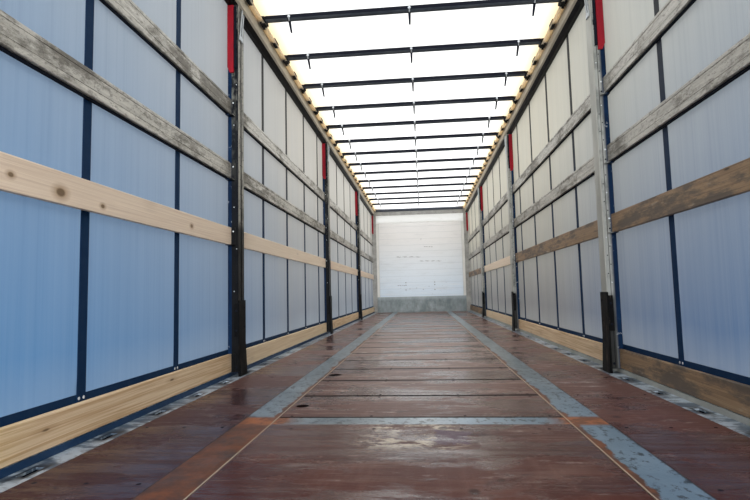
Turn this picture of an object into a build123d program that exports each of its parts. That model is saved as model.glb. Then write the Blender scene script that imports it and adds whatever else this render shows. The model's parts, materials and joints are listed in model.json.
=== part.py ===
from build123d import *
from math import cos, radians, sin
import os

# Three-axle curtain-side semi trailer with a sliding roof, standing on its tyres and landing legs.
# +Y points to the front (kingpin end), +X to the right-hand side seen from behind, +Z up.
# The origin is on the ground, under the middle of the whole trailer. Millimetres.

os.makedirs("parts", exist_ok=True)

# Load space and body
LOAD_LENGTH = 13600       # rear end of the floor to the front wall
BODY_HALF = 1275          # centre line to the outermost face of the body
FLOOR_TOP = 1230          # load floor above the ground
BOW_CLEAR = 2695          # floor to the underside of the roof bows
FRONT_WALL_T = 60         # front wall and corner pillars, in front of the load space
BUFFER_D = 105            # how far the rubber buffers stand out behind the floor
SEAT = 0.3                # gap between pieces that rest on each other
JOINT_GAP = 2             # gap between neighbouring boards

OVERALL = BUFFER_D + LOAD_LENGTH + FRONT_WALL_T
REAR = BUFFER_D - OVERALL / 2
FRONT = REAR + LOAD_LENGTH
BOW_Z = FLOOR_TOP + BOW_CLEAR

# Floor
FLOOR_T = 28
COVER_HALF = 598          # half width of the middle floor strip
STRIP_IN = 602            # galvanised edge strips beside the middle, inner and outer edge
STRIP_OUT = 748
BOARD_OUT = 1149          # outer edge of the side boards
STRIP_T = 8
WELL_REAR = 2240          # coil well, from the rear end of the floor
COVER_L = 465
COVER_COUNT = 16
CROSS_STRIP_W = 110
BOARD_PANELS = 6
BEAM_TOP = FLOOR_TOP - FLOOR_T
WELL_FRONT = WELL_REAR + COVER_COUNT * COVER_L

# Chassis
BEAM_X = 650              # centre of each main beam
WEB_T = 8
FLANGE_W = 140
FLANGE_T = 14
BEAM_DEPTH = 400
NECK_FROM = 10350         # where the shallow neck begins, from the rear end of the floor
NECK_SLOPE = 450
BEAM_REAR = 120
COUPLING_Z = 1100         # underside of the rubbing plate
PLATE_T = 8
OUTRIGGER_D = 95
OUTRIGGER_W = 50
BAR_H = 50
OUTRIGGER_PITCH = 620
OUTRIGGER_FIRST = 400
RAIL_IN = 1150            # inner edge of the side rail's top flange
RAIL_OUT = 1250
RAIL_T = 8
RAIL_DEPTH = 150
RAIL_LIP = 28             # lip above the floor, under the bottom board
RAIL_FOOT = 50
SLOT_FIRST = 350          # lashing slots in the rail, from the rear end of the floor
SLOT_PITCH = 400
SLOT_L = 90
SLOT_W = 30
WELL_DEPTH = 300
WELL_T = 6
WELL_BOTTOM_HALF = 260

# Kingpin, 2 inch
KINGPIN_FROM_FRONT = 1540  # from the front wall's inner face
KINGPIN_R = 25.4
KINGPIN_NECK_R = 36.5
KINGPIN_COLLAR_R = 35.75
KINGPIN_NECK_L = 24
KINGPIN_GROOVE_L = 35
KINGPIN_COLLAR_L = 23
PLATE_BACK = 700
PLATE_AHEAD = 1250

# Running gear
TYRE_R = 535
TYRE_W = 385
TYRE_SIDES = 32           # flat facets round each tyre, one corner down
RIM_SIDES = 24            # and round its rim
TRACK_HALF = 1020
AXLE_PITCH = 1310
AXLE_FIRST = 3050         # rear axle, from the rear end of the floor
AXLE_COUNT = 3
RIM_R = 286
RIM_W = 300
RIM_FLANGE_R = 305
RIM_FLANGE_L = 25         # length of the slope from the rim's seat up to its flange
RIM_T = 14
DISC_OUT = 120            # wheel disc outboard of the tyre's centre
DISC_T = 14
DISC_DISH = 30            # how much the rim narrows from its edge to the disc
HAND_HOLES = 8
HAND_HOLE_R = 30
HAND_HOLE_AT = 205
HUB_R = 95
HUB_SIDES = 16
HUB_CAP_R = 75
HUB_CAP_TIP_R = 62
HUB_CAP_L = 60
AXLE_R = 63.5
SPINDLE_R = 45
SPINDLE_CLEAR = 0.05
ARM_W = 90
ARM_T = 60
ARM_AHEAD = 500
ARM_BEHIND = 360
BAG_R = 130
BAG_WAIST = 28            # how far the bag draws in at its middle and ends
BAG_SIDES = 12
HANGER_L = 180
BRAKE_R = 150
BRAKE_SIDES = 16
CHAMBER_R = 85
CHAMBER_SIDES = 12
CHAMBER_L = 150
CHAMBER_X = 400
GUARD_R = 562             # inside of the mudguards
GUARD_T = 4
GUARD_IN = 835
GUARD_OUT = 1190
GUARD_ANGLE = 62          # each side of straight up
GUARD_FACETS = 8
GUARD_BAR_R = 16

# Landing legs
LEG_AT = 9600             # from the rear end of the floor
LEG_X = 785
LEG_W = 100
LEG_TOP = 1120
LEG_TUBE_END = 330
FOOT_W = 220
FOOT_L = 260
FOOT_T = 12
SHAFT_SIDES = 8
CRANK_OUT = 380

# Side posts, slats, roof
POST_STATIONS = (3420, 6820, 10220)   # centres, from the rear end of the floor
POST_IN = 1190
POST_OUT = 1262
POST_W = 110
POST_T = 5
POST_GROOVE_W = 18        # groove down the middle of the inner face
POST_GROOVE_D = 14
POST_FOOT_H = 500
SLAT_IN = 1238
SLAT_T = 22
SLAT_H = 118
SLAT_WALL = 4             # walls of the aluminium slat, open along its underside
SLAT_CHANNEL = 32
CURTAIN_IN = 1266
CURTAIN_T = 3
CANTRAIL_IN = 1190
CANTRAIL_OUT = 1262
CANTRAIL_H = 135
RUNNER_W = 40
RUNNER_H = 20
BOW_H = 40
BOW_W = 50
BOW_CHAMFER = 12
BOW_HALF = 1140
BOW_PITCH = 677
BOW_FIRST = 475
BOW_COUNT = 19
HOOK_X = 950
HOOK_DROP = 100
ROOF_T = 3
PILLAR_IN = 1155
PILLAR_D = 60
WALL_TOP = 2350           # top of the closed front wall, above the floor
BAND_TOP = 2560           # top of the clear band above it
KICK_H = 400
KICK_T = 4

# Rear portal and doors
PORTAL_D = 110
PORTAL_IN = 1175
PORTAL_TOP = 3995
PORTAL_HEAD_H = 145
SILL_H = 180
DOOR_T = 30
DOOR_GAP = 8
DOOR_BOTTOM = FLOOR_TOP - 40
DOOR_TOP = 3960
DOOR_MID_GAP = 5          # from the centre line to each leaf
DOOR_FRAME_W = 55         # frame round each leaf's panel, which lies a little deeper
DOOR_INSET = 4
HINGE_X = 1290
HINGE_BACK = 50           # hinge pin behind the closed leaf's outer face
HINGE_EDGE = 22
PIN_R = 8
KNUCKLE_R = 16
KNUCKLE_H = 70
LUG_H = 30
PIN_CLEAR = 0.05
HINGE_HEIGHTS = (1400, 2150, 2900, 3650)
ROD_R = 13
ROD_SIDES = 12
ROD_SEAT_T = 12
ROD_SEATS = (1900, 2600, 3300)
ROD_XS = (330, 1000)      # lock rods, from the centre line with the door closed

KINGPIN_Y = FRONT - KINGPIN_FROM_FRONT
HINGE_Y = REAR - DOOR_GAP - DOOR_T - HINGE_BACK
AXLE_YS = [REAR + AXLE_FIRST + n * AXLE_PITCH for n in range(AXLE_COUNT)]
AXLE_NAMES = ("rear", "middle", "front")
SIDES = (("left", -1), ("right", 1))


def block(x, y, z, shifts=((0, 0, 0),), mode=Mode.ADD):
    """A rectangular bar between two limits along each axis, given in any order, once at each shift."""
    middle = Vector(*[sum(pair) / 2 for pair in (x, y, z)])
    with Locations(*[middle + Vector(*shift) for shift in shifts]):
        Box(*[abs(pair[1] - pair[0]) for pair in (x, y, z)], mode=mode)


def prism(planes, points, depth, mode=Mode.ADD):
    """A closed outline on a plane, or on each of a list, pushed along its normal."""
    planes = planes if isinstance(planes, list) else [planes]
    with BuildSketch(*planes) as outline:
        with BuildLine():
            Polyline(*points, close=True)
        make_face()
    extrude(outline.sketch, amount=depth, mode=mode)


def side_view(x, y=0):
    """A plane square to X, with Y to the right and Z up, that faces +X."""
    return Plane(origin=(x, y, 0), x_dir=(0, 1, 0), z_dir=(1, 0, 0))


def rear_view(y):
    """A plane square to Y, with X to the right and Z up, that faces -Y."""
    return Plane(origin=(0, y, 0), x_dir=(1, 0, 0), z_dir=(0, -1, 0))


def turned(centre, points):
    """A body turned about an axis along X. Points are (distance along X, radius)."""
    with BuildSketch(Plane(origin=centre, x_dir=(1, 0, 0), z_dir=(0, -1, 0))) as outline:
        with BuildLine():
            Polyline(*points, close=True)
        make_face()
    revolve(outline.sketch, axis=Axis(centre, (1, 0, 0)))


def rod(start, end, radius, sides=0, mode=Mode.ADD):
    """A bar from one point to another, round or with the given number of flat sides."""
    run = Vector(*end) - Vector(*start)
    with BuildSketch(Plane(origin=start, z_dir=run)) as section:
        if sides:
            RegularPolygon(radius, sides)
        else:
            Circle(radius)
    extrude(section.sketch, amount=run.length, mode=mode)


def faceted(centre, sides, direction, stations, mode=Mode.ADD):
    """A flat-sided round form along a direction, one corner down or back. Stations are (distance, radius)."""
    along = Vector(*direction)
    corner = Vector(0, 0, -1) if abs(along.Z) < 0.5 else Vector(0, -1, 0)
    across = along.cross(corner)
    turns = [radians(360 * n / sides) for n in range(sides)]
    rings = []
    for distance, radius in stations:
        middle = Vector(*centre) + along * distance
        rings.append([middle + corner * (radius * cos(a)) + across * (radius * sin(a)) for a in turns])
    outlines = [rings[0], rings[-1]]
    for near, far in zip(rings, rings[1:]):
        outlines += [[near[n - 1], near[n], far[n], far[n - 1]] for n in range(sides)]
    flats = [Face(Wire.make_polygon(outline)) for outline in outlines]
    add(Solid(Shell(flats)), mode=mode)


# Main beams: deep at the rear, sloping up to the shallow neck over the tractor
neck_low = COUPLING_Z + PLATE_T
deep_low = BEAM_TOP - BEAM_DEPTH
beam_front = FRONT - SEAT
under = [
    (REAR + BEAM_REAR, deep_low),
    (REAR + NECK_FROM - NECK_SLOPE, deep_low),
    (REAR + NECK_FROM, neck_low),
    (beam_front, neck_low),
]
with BuildPart() as main_beams:
    for name, s in SIDES:
        web = under + [(beam_front, BEAM_TOP), (REAR + BEAM_REAR, BEAM_TOP)]
        prism(side_view(s * BEAM_X - WEB_T / 2), web, WEB_T)
        flange = under + [(y, z + FLANGE_T) for y, z in reversed(under)]
        prism(side_view(s * BEAM_X - FLANGE_W / 2), flange, FLANGE_W)
        block(
            (s * BEAM_X - FLANGE_W / 2, s * BEAM_X + FLANGE_W / 2),
            (REAR + BEAM_REAR, beam_front),
            (BEAM_TOP - FLANGE_T, BEAM_TOP),
        )
main_beams.part.label = "main_beams"
export_step(main_beams.part, "parts/main_beams.step")

# Cross members: outriggers from each beam to the side rail, and bars between the beams
web_out = BEAM_X + WEB_T / 2
web_in = BEAM_X - WEB_T / 2
flange_out = BEAM_X + FLANGE_W / 2
outrigger_count = int((LOAD_LENGTH - OUTRIGGER_FIRST) / OUTRIGGER_PITCH)
outrigger_ys = [REAR + OUTRIGGER_FIRST + n * OUTRIGGER_PITCH for n in range(outrigger_count)]
over_well = [y for y in outrigger_ys if REAR + WELL_REAR - 60 < y < REAR + WELL_FRONT + 60]
low_bars = [y for y in over_well if y < REAR + NECK_FROM - NECK_SLOPE]
high_bars = [y for y in outrigger_ys if y not in over_well]
outrigger_low = BEAM_TOP - OUTRIGGER_D + FLANGE_T + PLATE_T + 8
with BuildPart() as cross_members:
    for name, s in SIDES:
        outline = [
            (s * (web_out + SEAT), BEAM_TOP - FLANGE_T - SEAT),
            (s * (flange_out + SEAT), BEAM_TOP - FLANGE_T - SEAT),
            (s * (flange_out + SEAT), BEAM_TOP),
            (s * (RAIL_OUT - RAIL_T - SEAT), BEAM_TOP),
            (s * (RAIL_OUT - RAIL_T - SEAT), BEAM_TOP - OUTRIGGER_D + 25),
            (s * (flange_out + SEAT), outrigger_low),
            (s * (web_out + SEAT), outrigger_low),
        ]
        prism([rear_view(y + OUTRIGGER_W / 2) for y in outrigger_ys], outline, OUTRIGGER_W)
    # the bars' places, and their undersides
    for ys, low in (
        (low_bars, deep_low + FLANGE_T + SEAT),
        (high_bars, BEAM_TOP - FLANGE_T - SEAT - BAR_H),
    ):
        block((-web_in + SEAT, web_in - SEAT), (-OUTRIGGER_W / 2, OUTRIGGER_W / 2), (low, low + BAR_H),
              shifts=[(0, y, 0) for y in ys])
cross_members.part.label = "cross_members"
export_step(cross_members.part, "parts/cross_members.step")

# Rubbing plate with the kingpin
with BuildPart() as kingpin_plate:
    block((-flange_out, flange_out), (KINGPIN_Y - PLATE_BACK, KINGPIN_Y + PLATE_AHEAD),
          (COUPLING_Z, neck_low - SEAT))
    with BuildSketch(Plane.XZ.offset(-KINGPIN_Y)) as pin_outline:
        with BuildLine():
            groove_top = COUPLING_Z - KINGPIN_NECK_L
            groove_low = groove_top - KINGPIN_GROOVE_L
            Polyline(
                (0, COUPLING_Z),
                (KINGPIN_NECK_R, COUPLING_Z),
                (KINGPIN_NECK_R, groove_top),
                (KINGPIN_R, groove_top),
                (KINGPIN_R, groove_low),
                (KINGPIN_COLLAR_R, groove_low),
                (KINGPIN_COLLAR_R, groove_low - KINGPIN_COLLAR_L),
                (0, groove_low - KINGPIN_COLLAR_L),
                close=True,
            )
        make_face()
    revolve(axis=Axis((0, KINGPIN_Y, 0), (0, 0, 1)))
kingpin_plate.part.label = "kingpin_plate"
export_step(kingpin_plate.part, "parts/kingpin_plate.step")

# Coil well: a sloping steel trough between the beams, under its removable covers
well_top = BEAM_TOP - FLANGE_T - SEAT
well_low = FLOOR_TOP - WELL_DEPTH
well_side = web_in - SEAT
with BuildPart() as coil_well:
    outside = [
        (-well_side, well_top),
        (-WELL_BOTTOM_HALF, well_low),
        (WELL_BOTTOM_HALF, well_low),
        (well_side, well_top),
    ]
    inside = [(x - WELL_T * 1.6 if x > 0 else x + WELL_T * 1.6, z + WELL_T if z < well_top else z)
              for x, z in reversed(outside)]
    prism(rear_view(REAR + WELL_FRONT), outside + inside, COVER_COUNT * COVER_L)
    for y in (REAR + WELL_REAR, REAR + WELL_FRONT - WELL_T):
        prism(rear_view(y + WELL_T), outside, WELL_T)
coil_well.part.label = "coil_well"
export_step(coil_well.part, "parts/coil_well.step")

# Side rails: channel with a row of lashing slots in its top flange
rail_back = REAR + PORTAL_D + SEAT
rail_front = FRONT - PILLAR_D - SEAT
for name, s in SIDES:
    with BuildPart() as side_rail:
        outline = [
            (s * RAIL_IN, FLOOR_TOP),
            (s * (RAIL_OUT - RAIL_T), FLOOR_TOP),
            (s * (RAIL_OUT - RAIL_T), FLOOR_TOP + RAIL_LIP),
            (s * RAIL_OUT, FLOOR_TOP + RAIL_LIP),
            (s * RAIL_OUT, FLOOR_TOP - RAIL_DEPTH),
            (s * (RAIL_OUT - RAIL_FOOT), FLOOR_TOP - RAIL_DEPTH),
            (s * (RAIL_OUT - RAIL_FOOT), FLOOR_TOP - RAIL_DEPTH + RAIL_T),
            (s * (RAIL_OUT - RAIL_T), FLOOR_TOP - RAIL_DEPTH + RAIL_T),
            (s * (RAIL_OUT - RAIL_T), FLOOR_TOP - RAIL_T),
            (s * RAIL_IN, FLOOR_TOP - RAIL_T),
        ]
        prism(rear_view(rail_front), outline, rail_front - rail_back)
        slots = int((LOAD_LENGTH - 2 * SLOT_FIRST) / SLOT_PITCH) + 1
        slot_x = s * (RAIL_IN + RAIL_OUT - RAIL_T) / 2
        slot_ys = [REAR + SLOT_FIRST + n * SLOT_PITCH for n in range(slots)]
        with Locations(*[(slot_x, y, FLOOR_TOP - RAIL_T / 2) for y in slot_ys]):
            Box(SLOT_W, SLOT_L, RAIL_T * 2, mode=Mode.SUBTRACT)
    side_rail.part.label = f"side_rail_{name}"
    export_step(side_rail.part, f"parts/side_rail_{name}.step")

# Plywood floor: side boards, and middle boards behind and ahead of the coil well
panel_l = LOAD_LENGTH / BOARD_PANELS
with BuildPart() as floor_boards:
    for n in range(BOARD_PANELS):
        start = REAR + n * panel_l
        for name, s in SIDES:
            block((s * (STRIP_OUT + 1), s * BOARD_OUT), (start, start + panel_l - JOINT_GAP),
                  (BEAM_TOP, FLOOR_TOP))
    block((-COVER_HALF, COVER_HALF), (REAR, REAR + WELL_REAR - CROSS_STRIP_W - 1),
          (BEAM_TOP, FLOOR_TOP))
    for start, end in ((WELL_FRONT, 11600), (11600, LOAD_LENGTH)):
        block((-COVER_HALF, COVER_HALF), (REAR + start + JOINT_GAP, REAR + end - SEAT),
              (BEAM_TOP, FLOOR_TOP))
floor_boards.part.label = "floor_boards"
export_step(floor_boards.part, "parts/floor_boards.step")

# Removable covers of the coil well, lying crosswise on the beam flanges
with BuildPart() as well_covers:
    for n in range(COVER_COUNT):
        start = REAR + WELL_REAR + n * COVER_L
        block((-COVER_HALF, COVER_HALF), (start, start + COVER_L - JOINT_GAP), (BEAM_TOP, FLOOR_TOP))
well_covers.part.label = "well_covers"
export_step(well_covers.part, "parts/well_covers.step")

# Galvanised strips along both sides of the middle, and one across in front of the rear board
with BuildPart() as floor_strips:
    for name, s in SIDES:
        outline = [
            (s * STRIP_IN, BEAM_TOP),
            (s * STRIP_IN, FLOOR_TOP),
            (s * STRIP_OUT, FLOOR_TOP),
            (s * STRIP_OUT, BEAM_TOP),
            (s * (STRIP_OUT - STRIP_T), BEAM_TOP),
            (s * (STRIP_OUT - STRIP_T), FLOOR_TOP - STRIP_T),
            (s * (STRIP_IN + STRIP_T), FLOOR_TOP - STRIP_T),
            (s * (STRIP_IN + STRIP_T), BEAM_TOP),
        ]
        prism(rear_view(FRONT - SEAT), outline, LOAD_LENGTH - SEAT)
    block((-COVER_HALF, COVER_HALF), (REAR + WELL_REAR - CROSS_STRIP_W, REAR + WELL_REAR - 1),
          (BEAM_TOP, FLOOR_TOP))
floor_strips.part.label = "floor_strips"
export_step(floor_strips.part, "parts/floor_strips.step")

# Front end: pillars, header and foot beam in one welded frame
frame_low = FLOOR_TOP - RAIL_DEPTH + 30
header_low = FLOOR_TOP + BAND_TOP
header_top = FLOOR_TOP + BOW_CLEAR + BOW_H
wall_y = (FRONT + KICK_T, FRONT + FRONT_WALL_T)
with BuildPart() as front_frame:
    for name, s in SIDES:
        block((s * PILLAR_IN, s * BODY_HALF), (FRONT - PILLAR_D, wall_y[1]),
              (frame_low, header_top))
    block((-PILLAR_IN, PILLAR_IN), (FRONT, wall_y[1]), (header_low, header_top))
    block((-PILLAR_IN, PILLAR_IN), (FRONT - PILLAR_D, FRONT), (header_top - BOW_H, header_top))
    block((-PILLAR_IN, PILLAR_IN), (FRONT, wall_y[1]), (frame_low, FLOOR_TOP))
front_frame.part.label = "front_frame"
export_step(front_frame.part, "parts/front_frame.step")

# Front wall panel with upright stiffening ribs outside
RIB_PITCH = 300
RIB_W = 40
RIB_D = 20
with BuildPart() as front_wall:
    block((-PILLAR_IN + SEAT, PILLAR_IN - SEAT), (wall_y[0], wall_y[1] - RIB_D),
          (FLOOR_TOP, FLOOR_TOP + WALL_TOP))
    with Locations((0, wall_y[1] - RIB_D / 2, FLOOR_TOP + WALL_TOP / 2)):
        with GridLocations(RIB_PITCH, 1, 7, 1):
            Box(RIB_W, RIB_D, WALL_TOP)
front_wall.part.label = "front_wall"
export_step(front_wall.part, "parts/front_wall.step")

with BuildPart() as kick_plate:
    block((-PILLAR_IN + SEAT, PILLAR_IN - SEAT), (FRONT, FRONT + KICK_T),
          (FLOOR_TOP, FLOOR_TOP + KICK_H))
kick_plate.part.label = "kick_plate"
export_step(kick_plate.part, "parts/kick_plate.step")

# Clear band between the front wall and the header
with BuildPart() as front_band:
    block((-PILLAR_IN + SEAT, PILLAR_IN - SEAT), (wall_y[0], wall_y[0] + 6),
          (FLOOR_TOP + WALL_TOP, header_low - SEAT))
front_band.part.label = "front_band"
export_step(front_band.part, "parts/front_band.step")

# Air and electric sockets on two plates low on the front wall, between its ribs
SOCKET_Z = 1380
SOCKET_R = 24
SOCKET_PLATE_T = 4
SOCKET_PLATE_H = 110
with BuildPart() as service_sockets:
    face = wall_y[1] - RIB_D
    plate_y = (face + SEAT, face + SOCKET_PLATE_T)
    plate_z = (SOCKET_Z - SOCKET_PLATE_H / 2, SOCKET_Z + SOCKET_PLATE_H / 2)
    for name, s in SIDES:
        plate_x = (s * (RIB_W / 2 + SEAT), s * (RIB_PITCH - RIB_W / 2 - SEAT))
        block(plate_x, plate_y, plate_z)
        for share in (0.3, 0.7):
            x = plate_x[0] + share * (plate_x[1] - plate_x[0])
            rod((x, plate_y[1], SOCKET_Z), (x, wall_y[1], SOCKET_Z), SOCKET_R, 12)
service_sockets.part.label = "service_sockets"
export_step(service_sockets.part, "parts/service_sockets.step")

# Rear portal: two posts, a header and the sill, with the fixed lugs and pins of the door hinges
head_low = PORTAL_TOP - PORTAL_HEAD_H
with BuildPart() as rear_portal:
    block((-BODY_HALF, BODY_HALF), (REAR, REAR + PORTAL_D), (FLOOR_TOP - SILL_H, FLOOR_TOP - FLOOR_T))
    block((-BODY_HALF, BODY_HALF), (REAR, REAR + PORTAL_D), (head_low, PORTAL_TOP))
    for name, s in SIDES:
        block((s * PORTAL_IN, s * BODY_HALF), (REAR, REAR + PORTAL_D), (FLOOR_TOP - SILL_H, PORTAL_TOP))
        block((s * (BOARD_OUT + 1), s * PORTAL_IN), (REAR, REAR + PORTAL_D), (FLOOR_TOP - SILL_H, FLOOR_TOP))
        for height in HINGE_HEIGHTS:
            for low in (height - KNUCKLE_H / 2 - LUG_H, height + KNUCKLE_H / 2 + 1):
                block((s * BODY_HALF, s * (HINGE_X + 10)), (HINGE_Y - 12, REAR + 70), (low, low + LUG_H - 1))
            pin_low, pin_high = height - KNUCKLE_H / 2 - 1, height + KNUCKLE_H / 2 + 1
            rod((s * HINGE_X, HINGE_Y, pin_low), (s * HINGE_X, HINGE_Y, pin_high), PIN_R)
rear_portal.part.label = "rear_portal"
export_step(rear_portal.part, "parts/rear_portal.step")

# Buffers, underrun bar and lamp board
BUFFER_IN = 960           # inner edge of each buffer, from the centre line
BUFFER_W = 120
with BuildPart() as rear_buffers:
    for name, s in SIDES:
        block((s * BUFFER_IN, s * (BUFFER_IN + BUFFER_W)), (REAR - BUFFER_D, REAR - SEAT),
              (FLOOR_TOP - SILL_H - 70, DOOR_BOTTOM - 80))
rear_buffers.part.label = "rear_buffers"
export_step(rear_buffers.part, "parts/rear_buffers.step")

UNDERRUN_Z = 420
UNDERRUN_H = 120
with BuildPart() as underrun_bar:
    block((-1200, 1200), (REAR + 150, REAR + 210), (UNDERRUN_Z, UNDERRUN_Z + UNDERRUN_H))
    for name, s in SIDES:
        block((s * BEAM_X - 8, s * BEAM_X + 8), (REAR + 150, REAR + 290),
              (UNDERRUN_Z + UNDERRUN_H, deep_low - SEAT))
underrun_bar.part.label = "underrun_bar"
export_step(underrun_bar.part, "parts/underrun_bar.step")

LAMP_TOP = FLOOR_TOP - SILL_H
with BuildPart() as lamp_board:
    block((-1230, 1230), (REAR + 60, REAR + 66), (LAMP_TOP - 160, LAMP_TOP - SEAT))
lamp_board.part.label = "lamp_board"
export_step(lamp_board.part, "parts/lamp_board.step")

with BuildPart() as rear_lamps:
    for name, s in SIDES:
        block((s * 800, s * 1200), (REAR + 5, REAR + 60 - SEAT), (LAMP_TOP - 150, LAMP_TOP - 20))
rear_lamps.part.label = "rear_lamps"
export_step(rear_lamps.part, "parts/rear_lamps.step")

# Sliding side posts with slat pockets, their feet and their release levers
# Rows of slats: bottom edge above the floor, and whether it is timber
SLAT_ROWS = ((30, True), (873, True), (1317, False), (1764, False))
POCKET_L = 50
POCKET_T = 4
POCKET_PLATE_W = 26
post_low = FLOOR_TOP + RAIL_LIP + SEAT
post_top = FLOOR_TOP + BOW_CLEAR - CANTRAIL_H - SEAT
post_ys = [REAR + station for station in POST_STATIONS]
for name, s in SIDES:
    with BuildPart() as side_posts:
        for wall, mode in ((0, Mode.ADD), (POST_T, Mode.SUBTRACT)):
            side_y = POST_W / 2 - wall
            groove_y = POST_GROOVE_W / 2 + wall
            groove_x = POST_IN + POST_GROOVE_D + wall
            outline = [
                (s * (POST_OUT - wall), -side_y),
                (s * (POST_IN + wall), -side_y),
                (s * (POST_IN + wall), -groove_y),
                (s * groove_x, -groove_y),
                (s * groove_x, groove_y),
                (s * (POST_IN + wall), groove_y),
                (s * (POST_IN + wall), side_y),
                (s * (POST_OUT - wall), side_y),
            ]
            prism([Plane(origin=(0, y, post_low)) for y in post_ys], outline, post_top - post_low, mode=mode)
        rows = [bottom for bottom, timber in SLAT_ROWS]
        shelf_rows = [bottom for bottom in rows if bottom > RAIL_LIP + POCKET_T]
        plate = (s * (SLAT_IN - SEAT), s * (SLAT_IN - SEAT - POCKET_PLATE_W))
        for end in (-1, 1):
            side = end * POST_W / 2
            block(plate, (side, side + end * POCKET_T), (-SEAT, SLAT_H - SEAT),
                  shifts=[(0, y, FLOOR_TOP + bottom) for y in post_ys for bottom in rows])
            block((plate[1], s * POST_OUT), (side, side + end * POCKET_L), (-POCKET_T - SEAT, -SEAT),
                  shifts=[(0, y, FLOOR_TOP + bottom) for y in post_ys for bottom in shelf_rows])
    side_posts.part.label = f"side_posts_{name}"
    export_step(side_posts.part, f"parts/side_posts_{name}.step")

# Feet: a channel that wraps the post's inner face, with an ear on each side lower down
FOOT_PLATE_T = 8
EAR_D = 26
EAR_LOW = 260
EAR_HIGH = 480
with BuildPart() as post_feet:
    for name, s in SIDES:
        for station in POST_STATIONS:
            y = REAR + station
            outline = [
                (s * (POST_IN - SEAT), FLOOR_TOP),
                (s * (POST_IN - 20), FLOOR_TOP),
                (s * (POST_IN - FOOT_PLATE_T), FLOOR_TOP + POST_FOOT_H * 0.45),
                (s * (POST_IN - FOOT_PLATE_T), FLOOR_TOP + POST_FOOT_H),
                (s * (POST_IN - SEAT), FLOOR_TOP + POST_FOOT_H),
            ]
            prism(rear_view(y + POST_W / 2 + FOOT_PLATE_T), outline, POST_W + 2 * FOOT_PLATE_T)
            for end in (-1, 1):
                near = y + end * (POST_W / 2 + SEAT)
                block((s * (POST_IN - FOOT_PLATE_T), s * (POST_IN + EAR_D)),
                      (near, near + end * (FOOT_PLATE_T - SEAT)),
                      (FLOOR_TOP + EAR_LOW, FLOOR_TOP + EAR_HIGH))
post_feet.part.label = "post_feet"
export_step(post_feet.part, "parts/post_feet.step")

LEVER_W = 44
LEVER_T = 14
LEVER_LOW = 2070
LEVER_HIGH = 2555
LEVER_CUT = 40            # height of the slanted lower end
with BuildPart() as post_levers:
    for name, s in SIDES:
        for station in POST_STATIONS + (LOAD_LENGTH - PILLAR_D + POST_W / 2,):
            y = REAR + station - POST_W / 2 - SEAT
            outline = [
                (s * (POST_OUT - LEVER_W), FLOOR_TOP + LEVER_HIGH),
                (s * POST_OUT, FLOOR_TOP + LEVER_HIGH),
                (s * POST_OUT, FLOOR_TOP + LEVER_LOW + LEVER_CUT),
                (s * (POST_OUT - LEVER_W * 0.4), FLOOR_TOP + LEVER_LOW),
                (s * (POST_OUT - LEVER_W), FLOOR_TOP + LEVER_LOW),
            ]
            prism(rear_view(y), outline, LEVER_T)
post_levers.part.label = "post_levers"
export_step(post_levers.part, "parts/post_levers.step")

# Slats: from portal to post, post to post, and post to front pillar
edges = [PORTAL_D + SEAT]
for station in POST_STATIONS:
    edges += [station - POST_W / 2 - SEAT, station + POST_W / 2 + SEAT]
edges += [LOAD_LENGTH - PILLAR_D - SEAT]
bays = list(zip(edges[0::2], edges[1::2]))
with BuildPart() as timber_slats:
    for bottom, timber in SLAT_ROWS:
        if timber:
            for start, end in bays:
                for name, s in SIDES:
                    block((s * SLAT_IN, s * (SLAT_IN + SLAT_T)), (REAR + start, REAR + end),
                          (FLOOR_TOP + bottom, FLOOR_TOP + bottom + SLAT_H))
timber_slats.part.label = "timber_slats"
export_step(timber_slats.part, "parts/timber_slats.step")

# The aluminium ones are hollow, with a channel open along the underside
with BuildPart() as aluminium_slats:
    for bottom, timber in SLAT_ROWS:
        if not timber:
            low = FLOOR_TOP + bottom
            for name, s in SIDES:
                outline = [
                    (s * SLAT_IN, low),
                    (s * SLAT_IN, low + SLAT_H),
                    (s * (SLAT_IN + SLAT_T), low + SLAT_H),
                    (s * (SLAT_IN + SLAT_T), low),
                    (s * (SLAT_IN + SLAT_T - SLAT_WALL), low),
                    (s * (SLAT_IN + SLAT_T - SLAT_WALL), low + SLAT_CHANNEL),
                    (s * (SLAT_IN + SLAT_WALL), low + SLAT_CHANNEL),
                    (s * (SLAT_IN + SLAT_WALL), low),
                ]
                for start, end in bays:
                    prism(rear_view(REAR + end), outline, end - start)
aluminium_slats.part.label = "aluminium_slats"
export_step(aluminium_slats.part, "parts/aluminium_slats.step")

# Cantrails along the roof edges, with the runners of the roof carriages inside
rail_top = BOW_Z
with BuildPart() as cantrails:
    for name, s in SIDES:
        outline = [
            (s * CANTRAIL_IN, rail_top),
            (s * CANTRAIL_OUT, rail_top),
            (s * CANTRAIL_OUT, rail_top - CANTRAIL_H),
            (s * (CANTRAIL_OUT - 30), rail_top - CANTRAIL_H),
            (s * CANTRAIL_IN, rail_top - CANTRAIL_H + 35),
        ]
        prism(rear_view(rail_front), outline, rail_front - rail_back)
cantrails.part.label = "cantrails"
export_step(cantrails.part, "parts/cantrails.step")

with BuildPart() as roof_runners:
    for name, s in SIDES:
        block((s * (CANTRAIL_IN - SEAT), s * (CANTRAIL_IN - RUNNER_W)), (rail_back, rail_front),
              (rail_top - RUNNER_H, rail_top))
roof_runners.part.label = "roof_runners"
export_step(roof_runners.part, "parts/roof_runners.step")

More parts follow.
